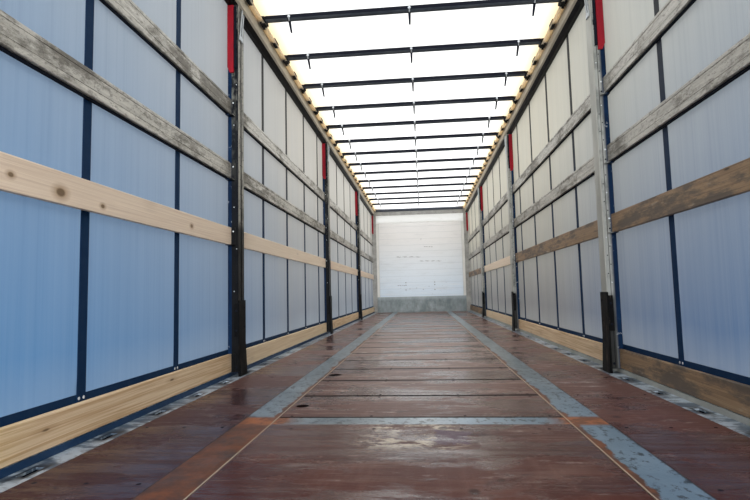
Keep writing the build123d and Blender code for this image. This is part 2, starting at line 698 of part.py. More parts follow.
# Roof bows with three hanging loops each, and their end carriages
HOOK_W = 22
HOOK_TIP_W = 14
HOOK_LEAN = 16            # how far a side hook's tip leans to the middle
HOOK_T = 8
bow_ys = [REAR + BOW_FIRST + n * BOW_PITCH for n in range(BOW_COUNT)]
with BuildPart() as roof_bows:
    section = [
        (-BOW_W / 2 + BOW_CHAMFER, BOW_Z),
        (BOW_W / 2 - BOW_CHAMFER, BOW_Z),
        (BOW_W / 2, BOW_Z + BOW_CHAMFER),
        (BOW_W / 2, BOW_Z + BOW_H),
        (-BOW_W / 2, BOW_Z + BOW_H),
        (-BOW_W / 2, BOW_Z + BOW_CHAMFER),
    ]
    prism([side_view(-BOW_HALF, y) for y in bow_ys], section, 2 * BOW_HALF)
    for side in (-1, 0, 1):
        x = side * HOOK_X
        tip = x - side * HOOK_LEAN
        hook = [
            (x - HOOK_W / 2, BOW_Z),
            (x + HOOK_W / 2, BOW_Z),
            (tip + HOOK_TIP_W / 2, BOW_Z - HOOK_DROP),
            (tip - HOOK_TIP_W / 2, BOW_Z - HOOK_DROP),
        ]
        prism([rear_view(y + HOOK_T / 2) for y in bow_ys], hook, HOOK_T)
roof_bows.part.label = "roof_bows"
export_step(roof_bows.part, "parts/roof_bows.step")

# A carriage at each bow end, sloping down to its two wheels, and a folding bracket half way between
CARRIAGE_L = 140
CARRIAGE_IN = 20          # how far it reaches over the cantrail
BRACKET_L = 110
BRACKET_H = 16
with BuildPart() as roof_carriages:
    outline = [
        (-CARRIAGE_L / 2, BOW_Z + SEAT),
        (CARRIAGE_L / 2, BOW_Z + SEAT),
        (CARRIAGE_L / 2, BOW_Z + BOW_H * 0.4),
        (BOW_W / 2, BOW_Z + BOW_H - 4),
        (-BOW_W / 2, BOW_Z + BOW_H - 4),
        (-CARRIAGE_L / 2, BOW_Z + BOW_H * 0.4),
    ]
    for name, s in SIDES:
        inner, outer = BOW_HALF + SEAT, CANTRAIL_IN + CARRIAGE_IN
        start = inner if s > 0 else -outer
        prism([side_view(start, y) for y in bow_ys], outline, outer - inner)
        block((s * (CANTRAIL_IN - RUNNER_W), s * outer), (-BRACKET_L / 2, BRACKET_L / 2),
              (BOW_Z + SEAT, BOW_Z + BRACKET_H), shifts=[(0, y + BOW_PITCH / 2, 0) for y in bow_ys[:-1]])
roof_carriages.part.label = "roof_carriages"
export_step(roof_carriages.part, "parts/roof_carriages.step")

# Roof tarpaulin with its side skirts, and the side curtains with their straps
SKIRT_OUT = 1274
SKIRT_DROP = 110
roof_top = BOW_Z + BOW_H + SEAT + ROOF_T
with BuildPart() as roof_tarpaulin:
    outline = [
        (-SKIRT_OUT, roof_top - SKIRT_DROP),
        (-SKIRT_OUT, roof_top),
        (SKIRT_OUT, roof_top),
        (SKIRT_OUT, roof_top - SKIRT_DROP),
        (SKIRT_OUT - ROOF_T, roof_top - SKIRT_DROP),
        (SKIRT_OUT - ROOF_T, roof_top - ROOF_T),
        (ROOF_T - SKIRT_OUT, roof_top - ROOF_T),
        (ROOF_T - SKIRT_OUT, roof_top - SKIRT_DROP),
    ]
    prism(rear_view(rail_front), outline, rail_front - rail_back)
roof_tarpaulin.part.label = "roof_tarpaulin"
export_step(roof_tarpaulin.part, "parts/roof_tarpaulin.step")

CURTAIN_LOW = FLOOR_TOP - 110
curtain_top = rail_top - 10
for name, s in SIDES:
    with BuildPart() as curtain:
        block((s * CURTAIN_IN, s * (CURTAIN_IN + CURTAIN_T)), (rail_back, rail_front),
              (CURTAIN_LOW, curtain_top))
        block((s * (CANTRAIL_OUT + SEAT), s * CURTAIN_IN), (rail_back, rail_front),
              (curtain_top - 30, curtain_top))
    curtain.part.label = f"curtain_{name}"
    export_step(curtain.part, f"parts/curtain_{name}.step")

STRAP_W = 50
STRAP_T = 2.5
STRAP_PITCH = 757
STRAP_FIRST = 370
STRAP_COUNT = 18
with BuildPart() as curtain_straps:
    shifts = [(0, REAR + STRAP_FIRST + n * STRAP_PITCH, 0) for n in range(STRAP_COUNT)]
    strap_y = (-STRAP_W / 2, STRAP_W / 2)
    for name, s in SIDES:
        block((s * (CURTAIN_IN - SEAT), s * (CURTAIN_IN - SEAT - STRAP_T)), strap_y,
              (FLOOR_TOP + 30, curtain_top - 35), shifts)
        block((s * (CURTAIN_IN + CURTAIN_T + SEAT), s * (BODY_HALF - 1)), strap_y,
              (CURTAIN_LOW - 30, CURTAIN_LOW + 330), shifts)
curtain_straps.part.label = "curtain_straps"
export_step(curtain_straps.part, "parts/curtain_straps.step")

# Axles with stub spindles, brake flanges and chambers
spindle_end = TRACK_HALF + DISC_OUT - 40
hub_in = TRACK_HALF - 115
with BuildPart() as axles:
    for y in AXLE_YS:
        centre = (0, y, TYRE_R)
        outline = [
            (-spindle_end, 0),
            (-spindle_end, SPINDLE_R),
            (SEAT - hub_in, SPINDLE_R),
            (SEAT - hub_in, AXLE_R),
            (hub_in - SEAT, AXLE_R),
            (hub_in - SEAT, SPINDLE_R),
            (spindle_end, SPINDLE_R),
            (spindle_end, 0),
        ]
        turned(centre, outline)
        for name, s in SIDES:
            rod((s * 780, y, TYRE_R), (s * 810, y, TYRE_R), BRAKE_R, BRAKE_SIDES)
            rod((s * CHAMBER_X, y - 110, TYRE_R + 95), (s * CHAMBER_X, y - 110 - CHAMBER_L, TYRE_R + 95),
                CHAMBER_R, CHAMBER_SIDES)
            block((s * CHAMBER_X - 20, s * CHAMBER_X + 20), (y - 130, y), (TYRE_R, TYRE_R + 60))
axles.part.label = "axles"
export_step(axles.part, "parts/axles.step")

# Trailing arms, their hangers under the beams, and the air bags
arm_low = TYRE_R + AXLE_R + SEAT
bag_seat = arm_low + 10
with BuildPart() as suspension_arms:
    for y in AXLE_YS:
        bag_y = y - ARM_BEHIND
        for name, s in SIDES:
            outline = [
                (y + ARM_AHEAD, arm_low + 20),
                (y + ARM_AHEAD, arm_low + 20 + ARM_T),
                (y + 80, arm_low + ARM_T + 20),
                (y - 80, arm_low + ARM_T),
                (bag_y + BAG_R + 10, bag_seat),
                (bag_y - BAG_R, bag_seat),
                (bag_y - BAG_R, bag_seat - 30),
                (bag_y + BAG_R + 10, bag_seat - 30),
                (y - 80, arm_low),
                (y + 80, arm_low),
            ]
            prism(side_view(s * BEAM_X - ARM_W / 2), outline, ARM_W)
            for x in (s * BEAM_X - ARM_W / 2 - 8 - SEAT, s * BEAM_X + ARM_W / 2 + SEAT):
                hanger = [
                    (y + ARM_AHEAD - HANGER_L / 2, deep_low - SEAT),
                    (y + ARM_AHEAD + HANGER_L / 2, deep_low - SEAT),
                    (y + ARM_AHEAD + 50, arm_low - 10),
                    (y + ARM_AHEAD - 50, arm_low - 10),
                ]
                prism(side_view(x), hanger, 8)
suspension_arms.part.label = "suspension_arms"
export_step(suspension_arms.part, "parts/suspension_arms.step")

with BuildPart() as air_bags:
    for y in AXLE_YS:
        for name, s in SIDES:
            bag_low = bag_seat + SEAT
            bag_l = deep_low - SEAT - bag_low
            # share of the height, and the radius there
            shape = (
                (0, BAG_R - BAG_WAIST),
                (0.25, BAG_R),
                (0.5, BAG_R - BAG_WAIST),
                (0.75, BAG_R),
                (1, BAG_R - BAG_WAIST),
            )
            faceted((s * BEAM_X, y - ARM_BEHIND, bag_low), BAG_SIDES, (0, 0, 1),
                    [(share * bag_l, radius) for share, radius in shape])
air_bags.part.label = "air_bags"
export_step(air_bags.part, "parts/air_bags.step")

GUARD_BAR_Y = 290         # two bars carry each guard
GUARD_BAR_Z = 490
with BuildPart() as mudguards:
    for y in AXLE_YS:
        for name, s in SIDES:
            start = s * GUARD_IN if s > 0 else s * GUARD_OUT
            angles = [radians(GUARD_ANGLE * (2 * n / GUARD_FACETS - 1)) for n in range(GUARD_FACETS + 1)]
            guard_out = GUARD_R + GUARD_T
            outer = [(y + guard_out * sin(a), TYRE_R + guard_out * cos(a)) for a in angles]
            inner = [(y + GUARD_R * sin(a), TYRE_R + GUARD_R * cos(a)) for a in reversed(angles)]
            prism(side_view(start), outer + inner, GUARD_OUT - GUARD_IN)
            for end in (-1, 1):
                bar_y, bar_z = y + end * GUARD_BAR_Y, TYRE_R + GUARD_BAR_Z
                rod((s * (web_out + SEAT), bar_y, bar_z), (s * (GUARD_IN + 5), bar_y, bar_z), GUARD_BAR_R, 6)
mudguards.part.label = "mudguards"
export_step(mudguards.part, "parts/mudguards.step")

# Landing legs with their gearbox shaft and crank
with BuildPart() as landing_legs:
    y = REAR + LEG_AT
    for name, s in SIDES:
        block((s * (LEG_X - LEG_W / 2), s * (LEG_X + LEG_W / 2)), (y - LEG_W / 2, y + LEG_W / 2),
              (LEG_TUBE_END, LEG_TOP))
        block((s * (LEG_X - LEG_W / 2 + 10), s * (LEG_X + LEG_W / 2 - 10)),
              (y - LEG_W / 2 + 10, y + LEG_W / 2 - 10), (FOOT_T + 40, LEG_TUBE_END))
        block((s * (LEG_X - 25), s * (LEG_X + 25)), (y - 30, y + 30), (FOOT_T, FOOT_T + 40))
        block((s * (LEG_X - FOOT_W / 2), s * (LEG_X + FOOT_W / 2)), (y - FOOT_L / 2, y + FOOT_L / 2),
              (0, FOOT_T))
        for end in (-1, 1):
            edge = y + end * LEG_W / 2
            block((s * (web_out + SEAT), s * (LEG_X + LEG_W / 2)), (edge, edge + end * 10),
                  (deep_low + 40, BEAM_TOP - FLANGE_T - 90))
    rod((-LEG_X, y, 700), (LEG_X, y, 700), 18, SHAFT_SIDES)
    rod((LEG_X, y, 760), (LEG_X + CRANK_OUT, y, 760), 14, SHAFT_SIDES)
    rod((LEG_X + CRANK_OUT - 14, y, 774), (LEG_X + CRANK_OUT - 14, y, 520), 12, SHAFT_SIDES)
landing_legs.part.label = "landing_legs"
export_step(landing_legs.part, "parts/landing_legs.step")

# Side guards: three aluminium rails on uprights that hang from the side rail
GUARD_RAIL_ZS = (420, 620, 820)
GUARD_RAIL_H = 110
GUARD_FROM = 6700
GUARD_TO = 9200
for name, s in SIDES:
    with BuildPart() as side_guard:
        for low in GUARD_RAIL_ZS:
            block((s * 1212, s * 1236), (REAR + GUARD_FROM, REAR + GUARD_TO), (low, low + GUARD_RAIL_H))
        for station in (GUARD_FROM + 250, GUARD_TO - 250):
            block((s * 1172, s * 1212), (REAR + station - 30, REAR + station + 30),
                  (GUARD_RAIL_ZS[0], FLOOR_TOP - RAIL_DEPTH - SEAT))
    side_guard.part.label = f"side_guard_{name}"
    export_step(side_guard.part, f"parts/side_guard_{name}.step")

# Air reservoirs between the beams, behind the legs
TANK_R = 120
TANK_SIDES = 16
TANK_AT = 8150
with BuildPart() as air_tanks:
    for x in (-300, 300):
        y = REAR + TANK_AT
        rod((x, y - 350, deep_low - TANK_R), (x, y + 350, deep_low - TANK_R), TANK_R, TANK_SIDES)
        for end in (-200, 200):
            block((x - 20, x + 20), (y + end - 20, y + end + 20), (deep_low - 20, deep_low + FLANGE_T))
    for end in (-200, 200):
        block((-web_in + SEAT, web_in - SEAT), (REAR + TANK_AT + end - 20, REAR + TANK_AT + end + 20),
              (deep_low + FLANGE_T + SEAT, deep_low + FLANGE_T + 30))
air_tanks.part.label = "air_tanks"
export_step(air_tanks.part, "parts/air_tanks.step")

# Wheels: tyre, and rim with disc and hub on its spindle, in flat facets all round
half_rim = RIM_W / 2
seat_edge = half_rim - RIM_FLANGE_L
rim_profile = ((-half_rim, RIM_FLANGE_R), (-seat_edge, RIM_R), (seat_edge, RIM_R), (half_rim, RIM_FLANGE_R))
# half width at each radius, from the bead out to the tread
tyre_section = (
    (half_rim - 1, RIM_FLANGE_R + 6),
    (TYRE_W / 2 - 14, RIM_FLANGE_R + 45),
    (TYRE_W / 2, TYRE_R - 120),
    (TYRE_W / 2 - 12, TYRE_R - 34),
    (TYRE_W / 2 - 46, TYRE_R),
)
tyre_profile = [(-x, r) for x, r in tyre_section] + [(x, r) for x, r in reversed(tyre_section)]
disc_in = DISC_OUT - DISC_T
hub_start = hub_in - TRACK_HALF
bore = SPINDLE_R + SPINDLE_CLEAR
bore_end = spindle_end - TRACK_HALF + 5
for y, axle in zip(AXLE_YS, AXLE_NAMES):
    for name, s in SIDES:
        centre = (s * TRACK_HALF, y, TYRE_R)
        out = (s, 0, 0)
        with BuildPart() as tyre:
            faceted(centre, TYRE_SIDES, out, tyre_profile)
            faceted(centre, RIM_SIDES, out, [(x, r + SEAT) for x, r in rim_profile], mode=Mode.SUBTRACT)
        tyre.part.label = f"tyre_{axle}_{name}"
        export_step(tyre.part, f"parts/tyre_{axle}_{name}.step")

        with BuildPart() as wheel:
            faceted(centre, RIM_SIDES, out, rim_profile)
            behind = [(-half_rim, RIM_R - RIM_T), (disc_in, RIM_R - RIM_T)]
            ahead = [(DISC_OUT, RIM_R - RIM_T - DISC_DISH), (half_rim, RIM_R - RIM_T)]
            faceted(centre, RIM_SIDES, out, behind, mode=Mode.SUBTRACT)
            faceted(centre, RIM_SIDES, out, ahead, mode=Mode.SUBTRACT)
            disc_plane = Plane(origin=(s * (TRACK_HALF + disc_in - 1), y, TYRE_R), x_dir=(0, 1, 0), z_dir=out)
            with BuildSketch(disc_plane) as holes:
                with PolarLocations(HAND_HOLE_AT, HAND_HOLES):
                    RegularPolygon(HAND_HOLE_R, 6)
            extrude(holes.sketch, amount=DISC_T + 2, mode=Mode.SUBTRACT)
            faceted(centre, HUB_SIDES, out, [(hub_start, HUB_R), (disc_in, HUB_R)])
            faceted(centre, HUB_SIDES, out, [(DISC_OUT, HUB_CAP_R), (DISC_OUT + HUB_CAP_L, HUB_CAP_TIP_R)])
            rod((s * (TRACK_HALF + hub_start), y, TYRE_R), (s * (TRACK_HALF + bore_end), y, TYRE_R), bore,
                mode=Mode.SUBTRACT)
        wheel.part.label = f"wheel_{axle}_{name}"
        export_step(wheel.part, f"parts/wheel_{axle}_{name}.step")

# Rear doors, folded right round along the sides. Each is drawn closed, then turned about its pins.
leaf_out = HINGE_X - HINGE_EDGE
leaf_y = (REAR - DOOR_GAP - DOOR_T, REAR - DOOR_GAP)
for name, s in SIDES:
    pins = Axis((s * HINGE_X, HINGE_Y, 0), (0, 0, 1))
    with BuildPart() as door:
        block((s * DOOR_MID_GAP, s * leaf_out), leaf_y, (DOOR_BOTTOM, DOOR_TOP))
        inset = (s * (DOOR_MID_GAP + DOOR_FRAME_W), s * (leaf_out - DOOR_FRAME_W))
        for y in ((leaf_y[0], leaf_y[0] + DOOR_INSET), (leaf_y[1] - DOOR_INSET, leaf_y[1])):
            block(inset, y, (DOOR_BOTTOM + DOOR_FRAME_W, DOOR_TOP - DOOR_FRAME_W), mode=Mode.SUBTRACT)
        door.part = door.part.rotate(pins, s * 270)
    door.part.label = f"door_{name}"
    export_step(door.part, f"parts/door_{name}.step")

    with BuildPart() as door_gear:
        face = leaf_y[0] - SEAT
        for height in HINGE_HEIGHTS:
            low = height - KNUCKLE_H / 2 + SEAT * 2
            gusset = [
                (s * HINGE_X, HINGE_Y - KNUCKLE_R),
                (s * (leaf_out - 60), face - 10),
                (s * (leaf_out - 300), face - 8),
                (s * (leaf_out - 300), face),
                (s * (leaf_out - 1), face),
                (s * (HINGE_X - KNUCKLE_R + 4), HINGE_Y + 8),
            ]
            prism(Plane.XY.offset(low), gusset, KNUCKLE_H - SEAT * 4)
            rod((s * HINGE_X, HINGE_Y, low), (s * HINGE_X, HINGE_Y, low + KNUCKLE_H - SEAT * 4), KNUCKLE_R)
            rod((s * HINGE_X, HINGE_Y, low), (s * HINGE_X, HINGE_Y, low + KNUCKLE_H - SEAT * 4),
                PIN_R + PIN_CLEAR, mode=Mode.SUBTRACT)
        for x in ROD_XS:
            rod_y = face - ROD_R - ROD_SEAT_T - SEAT
            rod((s * x, rod_y, DOOR_BOTTOM + 20), (s * x, rod_y, DOOR_TOP - 20), ROD_R, ROD_SIDES)
            for low in (DOOR_BOTTOM + 4, DOOR_TOP - DOOR_FRAME_W):
                block((s * x - 30, s * x + 30), (face - ROD_SEAT_T, face), (low, low + DOOR_FRAME_W - 4))
            for low in ROD_SEATS:
                block((s * x - 30, s * x + 30), (face - ROD_SEAT_T, face + DOOR_INSET), (low, low + 50))
            block((s * (x - ROD_R - SEAT), s * (x - 260)), (rod_y - 5, rod_y + 5), (2000, 2035))
        door_gear.part = door_gear.part.rotate(pins, s * 270)
    door_gear.part.label = f"door_gear_{name}"
    export_step(door_gear.part, f"parts/door_gear_{name}.step")
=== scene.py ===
import json
import math

import bmesh
import bpy
from mathutils import Matrix, Vector


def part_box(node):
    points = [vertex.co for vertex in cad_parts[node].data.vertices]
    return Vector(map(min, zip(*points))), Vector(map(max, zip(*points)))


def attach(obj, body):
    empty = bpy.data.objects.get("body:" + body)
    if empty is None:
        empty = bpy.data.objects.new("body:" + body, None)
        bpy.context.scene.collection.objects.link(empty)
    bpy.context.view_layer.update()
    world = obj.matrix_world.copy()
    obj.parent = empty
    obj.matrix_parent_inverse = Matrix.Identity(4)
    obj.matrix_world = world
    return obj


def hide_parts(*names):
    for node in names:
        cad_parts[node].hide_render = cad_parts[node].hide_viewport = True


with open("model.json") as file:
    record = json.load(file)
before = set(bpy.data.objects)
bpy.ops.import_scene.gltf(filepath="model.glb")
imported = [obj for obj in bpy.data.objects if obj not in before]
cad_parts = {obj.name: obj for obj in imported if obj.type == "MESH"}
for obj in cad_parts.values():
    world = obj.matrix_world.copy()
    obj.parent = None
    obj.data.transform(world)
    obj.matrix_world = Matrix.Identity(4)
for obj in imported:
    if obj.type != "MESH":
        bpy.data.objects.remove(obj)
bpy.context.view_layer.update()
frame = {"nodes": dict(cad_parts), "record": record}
nodes = frame["nodes"]

SIDES = (("left", -1), ("right", 1))
ROOT = "chassis"

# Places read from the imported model, in metres
floor_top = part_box("floor_boards")[1][2]
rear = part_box("floor_boards")[0][1]
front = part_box("kick_plate")[0][1]
wall_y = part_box("front_wall")[0][1]

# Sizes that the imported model's boxes don't give, as in the part's source
WELL_REAR = 2.24          # cover seams, from the rear end of the floor
COVER_L = 0.465
COVER_COUNT = 16
CROSS_W = 0.11            # the strip across the floor, behind the first seam
STRIP_IN = 0.6            # the strips along the floor, from the middle
STRIP_OUT = 0.745
POST_IN = 1.19            # the posts' inner face, from the middle
POST_W = 0.11
POST_GROOVE_W = 0.018
POST_PITCH = 3.4
POST_HOLE_PITCH = 0.05
POST_TOP = 2.545          # above the floor
BOW_PITCH = 0.677
BOW_W = 0.05
BOW_UP = 2.695            # the bows' underside, above the floor
STRAP_PITCH = 0.757
RAIL_IN = 1.15            # the side rails' upper face, from the middle to the lip
RAIL_LIP_X = 1.242
SLOT_X = (RAIL_IN + RAIL_LIP_X) / 2
SLOT_PITCH = 0.4
PROUD = 0.0004            # between an added piece and the face that it sits on

post_ys = [rear + 3.42 + n * POST_PITCH for n in range(3)]
bow_ys = [rear + 0.475 + n * BOW_PITCH for n in range(19)]
strap_ys = [rear + 0.37 + n * STRAP_PITCH for n in range(18)]
slot_ys = [rear + 0.35 + n * SLOT_PITCH for n in range(33)]


class Shade:
    """A procedural material. Every texture reads the place on the object, in metres."""

    def __init__(self, name, metallic=0.0, specular=0.5):
        self.material = bpy.data.materials.new(name)
        self.material.use_nodes = True
        self.tree = self.material.node_tree
        self.bsdf = self.tree.nodes["Principled BSDF"]
        self.bsdf.inputs["Metallic"].default_value = metallic
        self.bsdf.inputs["Specular IOR Level"].default_value = specular
        self.place = self.node("ShaderNodeTexCoord").outputs["Object"]

    def node(self, kind, feeds=None, **settings):
        """A new node. feeds says what goes into its inputs, by name or number."""
        made = self.tree.nodes.new(kind)
        for key, value in settings.items():
            setattr(made, key, value)
        for key, value in (feeds or {}).items():
            self.feed(made.inputs[key], value)
        return made

    def feed(self, socket, value):
        """Links a socket to another, or sets its value."""
        if isinstance(value, bpy.types.NodeSocket):
            self.tree.links.new(value, socket)
        elif socket.type == "RGBA":
            socket.default_value = (*value, 1.0)
        else:
            socket.default_value = value

    def stretched(self, stretch):
        return self.node("ShaderNodeVectorMath", {0: self.place, 1: stretch}, operation="MULTIPLY").outputs[0]

    def noise(self, scale, detail=4.0, rough=0.55, stretch=(1, 1, 1), distortion=0.0):
        feeds = {"Vector": self.stretched(stretch), "Scale": scale, "Detail": detail, "Roughness": rough,
                 "Distortion": distortion}
        return self.node("ShaderNodeTexNoise", feeds).outputs["Fac"]

    def patches(self, low, high, scale, detail=4.0, rough=0.55, stretch=(1, 1, 1)):
        """Noise sharpened to patches: 0 where it is under low, 1 where it is over high."""
        return self.ramp(self.noise(scale, detail, rough, stretch), low, high)

    def cells(self, scale, stretch=(1, 1, 1)):
        feeds = {"Vector": self.stretched(stretch), "Scale": scale}
        return self.node("ShaderNodeTexVoronoi", feeds, feature="F1").outputs["Distance"]

    def part(self, vector, letter):
        return self.node("ShaderNodeSeparateXYZ", {0: vector}).outputs[letter]

    def axis(self, letter):
        return self.part(self.place, letter)

    def facing(self, letter):
        return self.part(self.node("ShaderNodeNewGeometry").outputs["Normal"], letter)

    def math(self, operation, a, b=0.0, c=0.0):
        return self.node("ShaderNodeMath", {0: a, 1: b, 2: c}, operation=operation).outputs[0]

    def both(self, mask, *others):
        """The product of masks or numbers."""
        for other in others:
            mask = self.math("MULTIPLY", mask, other)
        return mask

    def either(self, mask, *others):
        """The largest of masks or numbers."""
        for other in others:
            mask = self.math("MAXIMUM", mask, other)
        return mask

    def plus(self, a, b):
        return self.math("ADD", a, b)

    def minus(self, a, b):
        return self.math("SUBTRACT", a, b)

    def scaled_plus(self, a, share, b):
        return self.math("MULTIPLY_ADD", a, share, b)

    def away(self, value, middle):
        """How far a value is from a middle."""
        return self.math("ABSOLUTE", self.minus(value, middle))

    def off_middle(self):
        """How far a place is from the trailer's middle, to either side."""
        return self.math("ABSOLUTE", self.axis("X"))

    def length(self, a, b):
        return self.math("SQRT", self.plus(self.both(a, a), self.both(b, b)))

    def repeat(self, letter, first, pitch):
        """How far a place is from the nearest of a row of lines across an axis, in metres."""
        return self.math("PINGPONG", self.minus(self.axis(letter), first), pitch / 2)

    def line(self, letter, first, pitch, half):
        """1 on a row of thin lines across an axis, 0 elsewhere."""
        return self.fall(self.repeat(letter, first, pitch), half * 0.6, half * 1.4)

    def ramp(self, value, start, end, low=0.0, high=1.0):
        feeds = {"Value": value, "From Min": start, "From Max": end, "To Min": low, "To Max": high}
        return self.node("ShaderNodeMapRange", feeds, clamp=True).outputs["Result"]

    def fall(self, value, start, end):
        """1 up to start, 0 from end on."""
        return self.ramp(value, start, end, 1.0, 0.0)

    def blend(self, mask, low, high):
        """A number that is low where the mask is 0 and high where it is 1."""
        return self.ramp(mask, 0.0, 1.0, low, high)

    def right(self, low=0.0, high=1.0):
        """A number that is low on the trailer's left side and high on its right side."""
        return self.ramp(self.axis("X"), -0.1, 0.1, low, high)

    def left(self):
        return self.right(1.0, 0.0)

    def mix(self, share, a, b):
        return self.node("ShaderNodeMix", {"Factor": share, 6: a, 7: b}, data_type="RGBA").outputs[2]

    def coat(self, color, mask, share, over):
        """Lays a colour over another where the mask is 1, by a share."""
        return self.mix(self.both(mask, share), color, over)

    def bump(self, height, distance):
        made = self.node("ShaderNodeBump", {"Strength": 1.0, "Distance": distance, "Height": height})
        self.feed(self.bsdf.inputs["Normal"], made.outputs["Normal"])

    def finish(self, color, rough):
        self.feed(self.bsdf.inputs["Base Color"], color)
        self.feed(self.bsdf.inputs["Roughness"], rough)
        return self.material

    def over_paint(self, other, share):
        """Blends another shader over the paint, by a share."""
        blend = self.node("ShaderNodeMixShader", {0: share, 1: self.bsdf.outputs[0], 2: other.outputs[0]})
        self.feed(self.tree.nodes["Material Output"].inputs["Surface"], blend.outputs[0])
        return self.material

    def lit_through(self, color, rough, share):
        """Lets part of the light through, as thin coated fabric or sheet does."""
        self.finish(color, rough)
        return self.over_paint(self.node("ShaderNodeBsdfTranslucent", {"Color": color}), share)


def times(color, share):
    """A colour made darker or brighter."""
    return tuple(part * share for part in color)


def worn(name, base, worn_to, rough=0.5, metallic=0.0, scale=6.0, amount=0.5, stretch=(1, 1, 1),
         specular=0.5):
    """A plain surface with cloudy wear, fine specks and a little unevenness."""
    s = Shade(name, metallic, specular)
    cloud = s.patches(0.4, 0.75, scale, 6.0, 0.6, stretch)
    speck = s.patches(0.45, 0.7, scale * 22, 3.0, 0.6)
    color = s.coat(base, cloud, amount, worn_to)
    color = s.coat(color, speck, amount * 0.4, worn_to)
    s.bump(s.noise(scale * 12, 5.0, 0.6), 0.0004)
    return s.finish(color, s.blend(cloud, rough, min(1.0, rough + 0.2)))


# Two dark spots that the photograph shows in the floor: along from the rear, across, radius
FLOOR_SPOTS = ((2.471, -0.55, 0.04), (3.39, -0.55, 0.055))


def floor_plywood():
    """Dark red-brown coated plywood: wet, scuffed crosswise, worn pale in spots, dark at the seams; lighter
    further forward, partly as painted reflection.
    """
    s = Shade("floor_plywood", specular=0.6)
    x = s.axis("X")
    y = s.axis("Y")
    covers = s.fall(s.off_middle(), STRIP_IN - 0.001, STRIP_IN + 0.001)
    deep = s.ramp(y, rear + 1.2, rear + 4.5)
    across = s.patches(0.5, 0.66, 6.0, 6.0, 0.68, (0.35, 3.2, 1.0))
    pale = s.patches(0.6, 0.68, 7.0, 5.0, 0.72, (0.8, 2.2, 1.0))
    wet = s.patches(0.455, 0.525, 2.1, 7.0, 0.68, (0.6, 1.3, 1.0))

    # Base colour and scuffs, with painted reflection further forward
    cloud = s.patches(0.3, 0.7, 1.1, 6.0, 0.62, (1.0, 0.8, 1.0))
    color = s.mix(cloud, (0.06, 0.018, 0.016), (0.13, 0.05, 0.038))
    along = s.patches(0.52, 0.7, 8.0, 5.0, 0.65, (3.0, 0.3, 1.0))
    color = s.coat(color, along, 0.24, (0.24, 0.125, 0.098))
    # Partly painted reflection: further forward the floor is lighter, and its crosswise pale bands and pale
    # spots are stronger.
    color = s.coat(color, deep, 0.3, (0.26, 0.145, 0.105))
    color = s.coat(color, s.both(across, covers), s.blend(deep, 0.14, 0.72), (0.36, 0.25, 0.2))
    color = s.coat(color, pale, s.blend(deep, 0.22, 0.88), (0.56, 0.47, 0.42))
    scratch = s.patches(0.6, 0.68, 22.0, 6.0, 0.7, (0.12, 2.4, 1.0))
    color = s.coat(color, scratch, 0.3, (0.36, 0.28, 0.25))
    dark = s.patches(0.62, 0.7, 9.0, 3.0, 0.6, (0.8, 2.0, 1.0))
    color = s.coat(color, dark, 0.75, (0.03, 0.015, 0.016))

    # Marks in their places: the dark left side, a worn spot and a violet patch before the cross strip
    side_left = s.both(s.fall(x, -0.76, -0.74), s.fall(y, rear + 2.2, rear + 3.4))
    color = s.coat(color, side_left, 0.55, (0.03, 0.014, 0.018))
    patch = s.both(s.fall(s.away(x, -0.03), 0.12, 0.24), s.fall(s.away(y, rear + 1.97), 0.12, 0.22))
    worn_spot = s.patches(0.5, 0.56, 11.0, 7.0, 0.8, (0.7, 1.3, 1.0))
    color = s.coat(color, s.both(worn_spot, patch), 0.9, (0.62, 0.53, 0.42))
    torn = s.both(s.noise(8.0, 7.0, 0.75), 0.2)
    violet_x = s.fall(s.plus(s.away(x, 0.13), torn), 0.155, 0.165)
    violet_y = s.fall(s.plus(s.away(y, rear + 1.95), torn), 0.185, 0.195)
    color = s.coat(color, s.both(violet_x, violet_y), 0.85, (0.088, 0.048, 0.08))

    # Water: drops and a dark film
    drops = s.both(s.fall(s.cells(9.0, (1.0, 0.7, 1.0)), 0.12, 0.2), s.patches(0.5, 0.56, 1.7, 3.0))
    color = s.coat(color, drops, 0.75, (0.022, 0.01, 0.01))
    color = s.coat(color, wet, 0.4, (0.045, 0.022, 0.026))

    # Seams between the covers, and the two spots
    ahead = s.ramp(y, rear + WELL_REAR - 0.02, rear + WELL_REAR - 0.01)
    seam = s.both(covers, s.line("Y", rear + WELL_REAR, COVER_L, 0.016), ahead)
    fringe = s.both(covers, s.line("Y", rear + WELL_REAR, COVER_L, 0.045), s.blend(pale, 0.7, 0.0), ahead)
    color = s.coat(color, fringe, 0.5, (0.04, 0.022, 0.022))
    black = seam
    for station, across_x, radius in FLOOR_SPOTS:
        reach = s.length(s.minus(y, rear + station), s.minus(x, across_x))
        black = s.either(black, s.fall(reach, radius * 0.7, radius))
    color = s.mix(black, color, (0.012, 0.008, 0.008))

    s.bump(s.plus(s.noise(90.0, 4.0, 0.6), s.both(across, 1.2)), 0.0009)
    shine = s.both(wet, s.patches(0.455, 0.545, 5.0, 7.0, 0.72, (0.5, 2.4, 1.0)))
    gloss = s.blend(shine, s.blend(deep, 0.0, 0.6), s.blend(deep, 0.24, 1.0))
    s.feed(s.bsdf.inputs["Specular IOR Level"], s.both(gloss, s.fall(black, 0.0, 1.0)))
    wear = s.noise(40.0, 5.0, 0.7, (0.5, 1.6, 1.0))
    return s.finish(color, s.scaled_plus(wear, 0.2, s.blend(wet, 0.34, 0.05)))


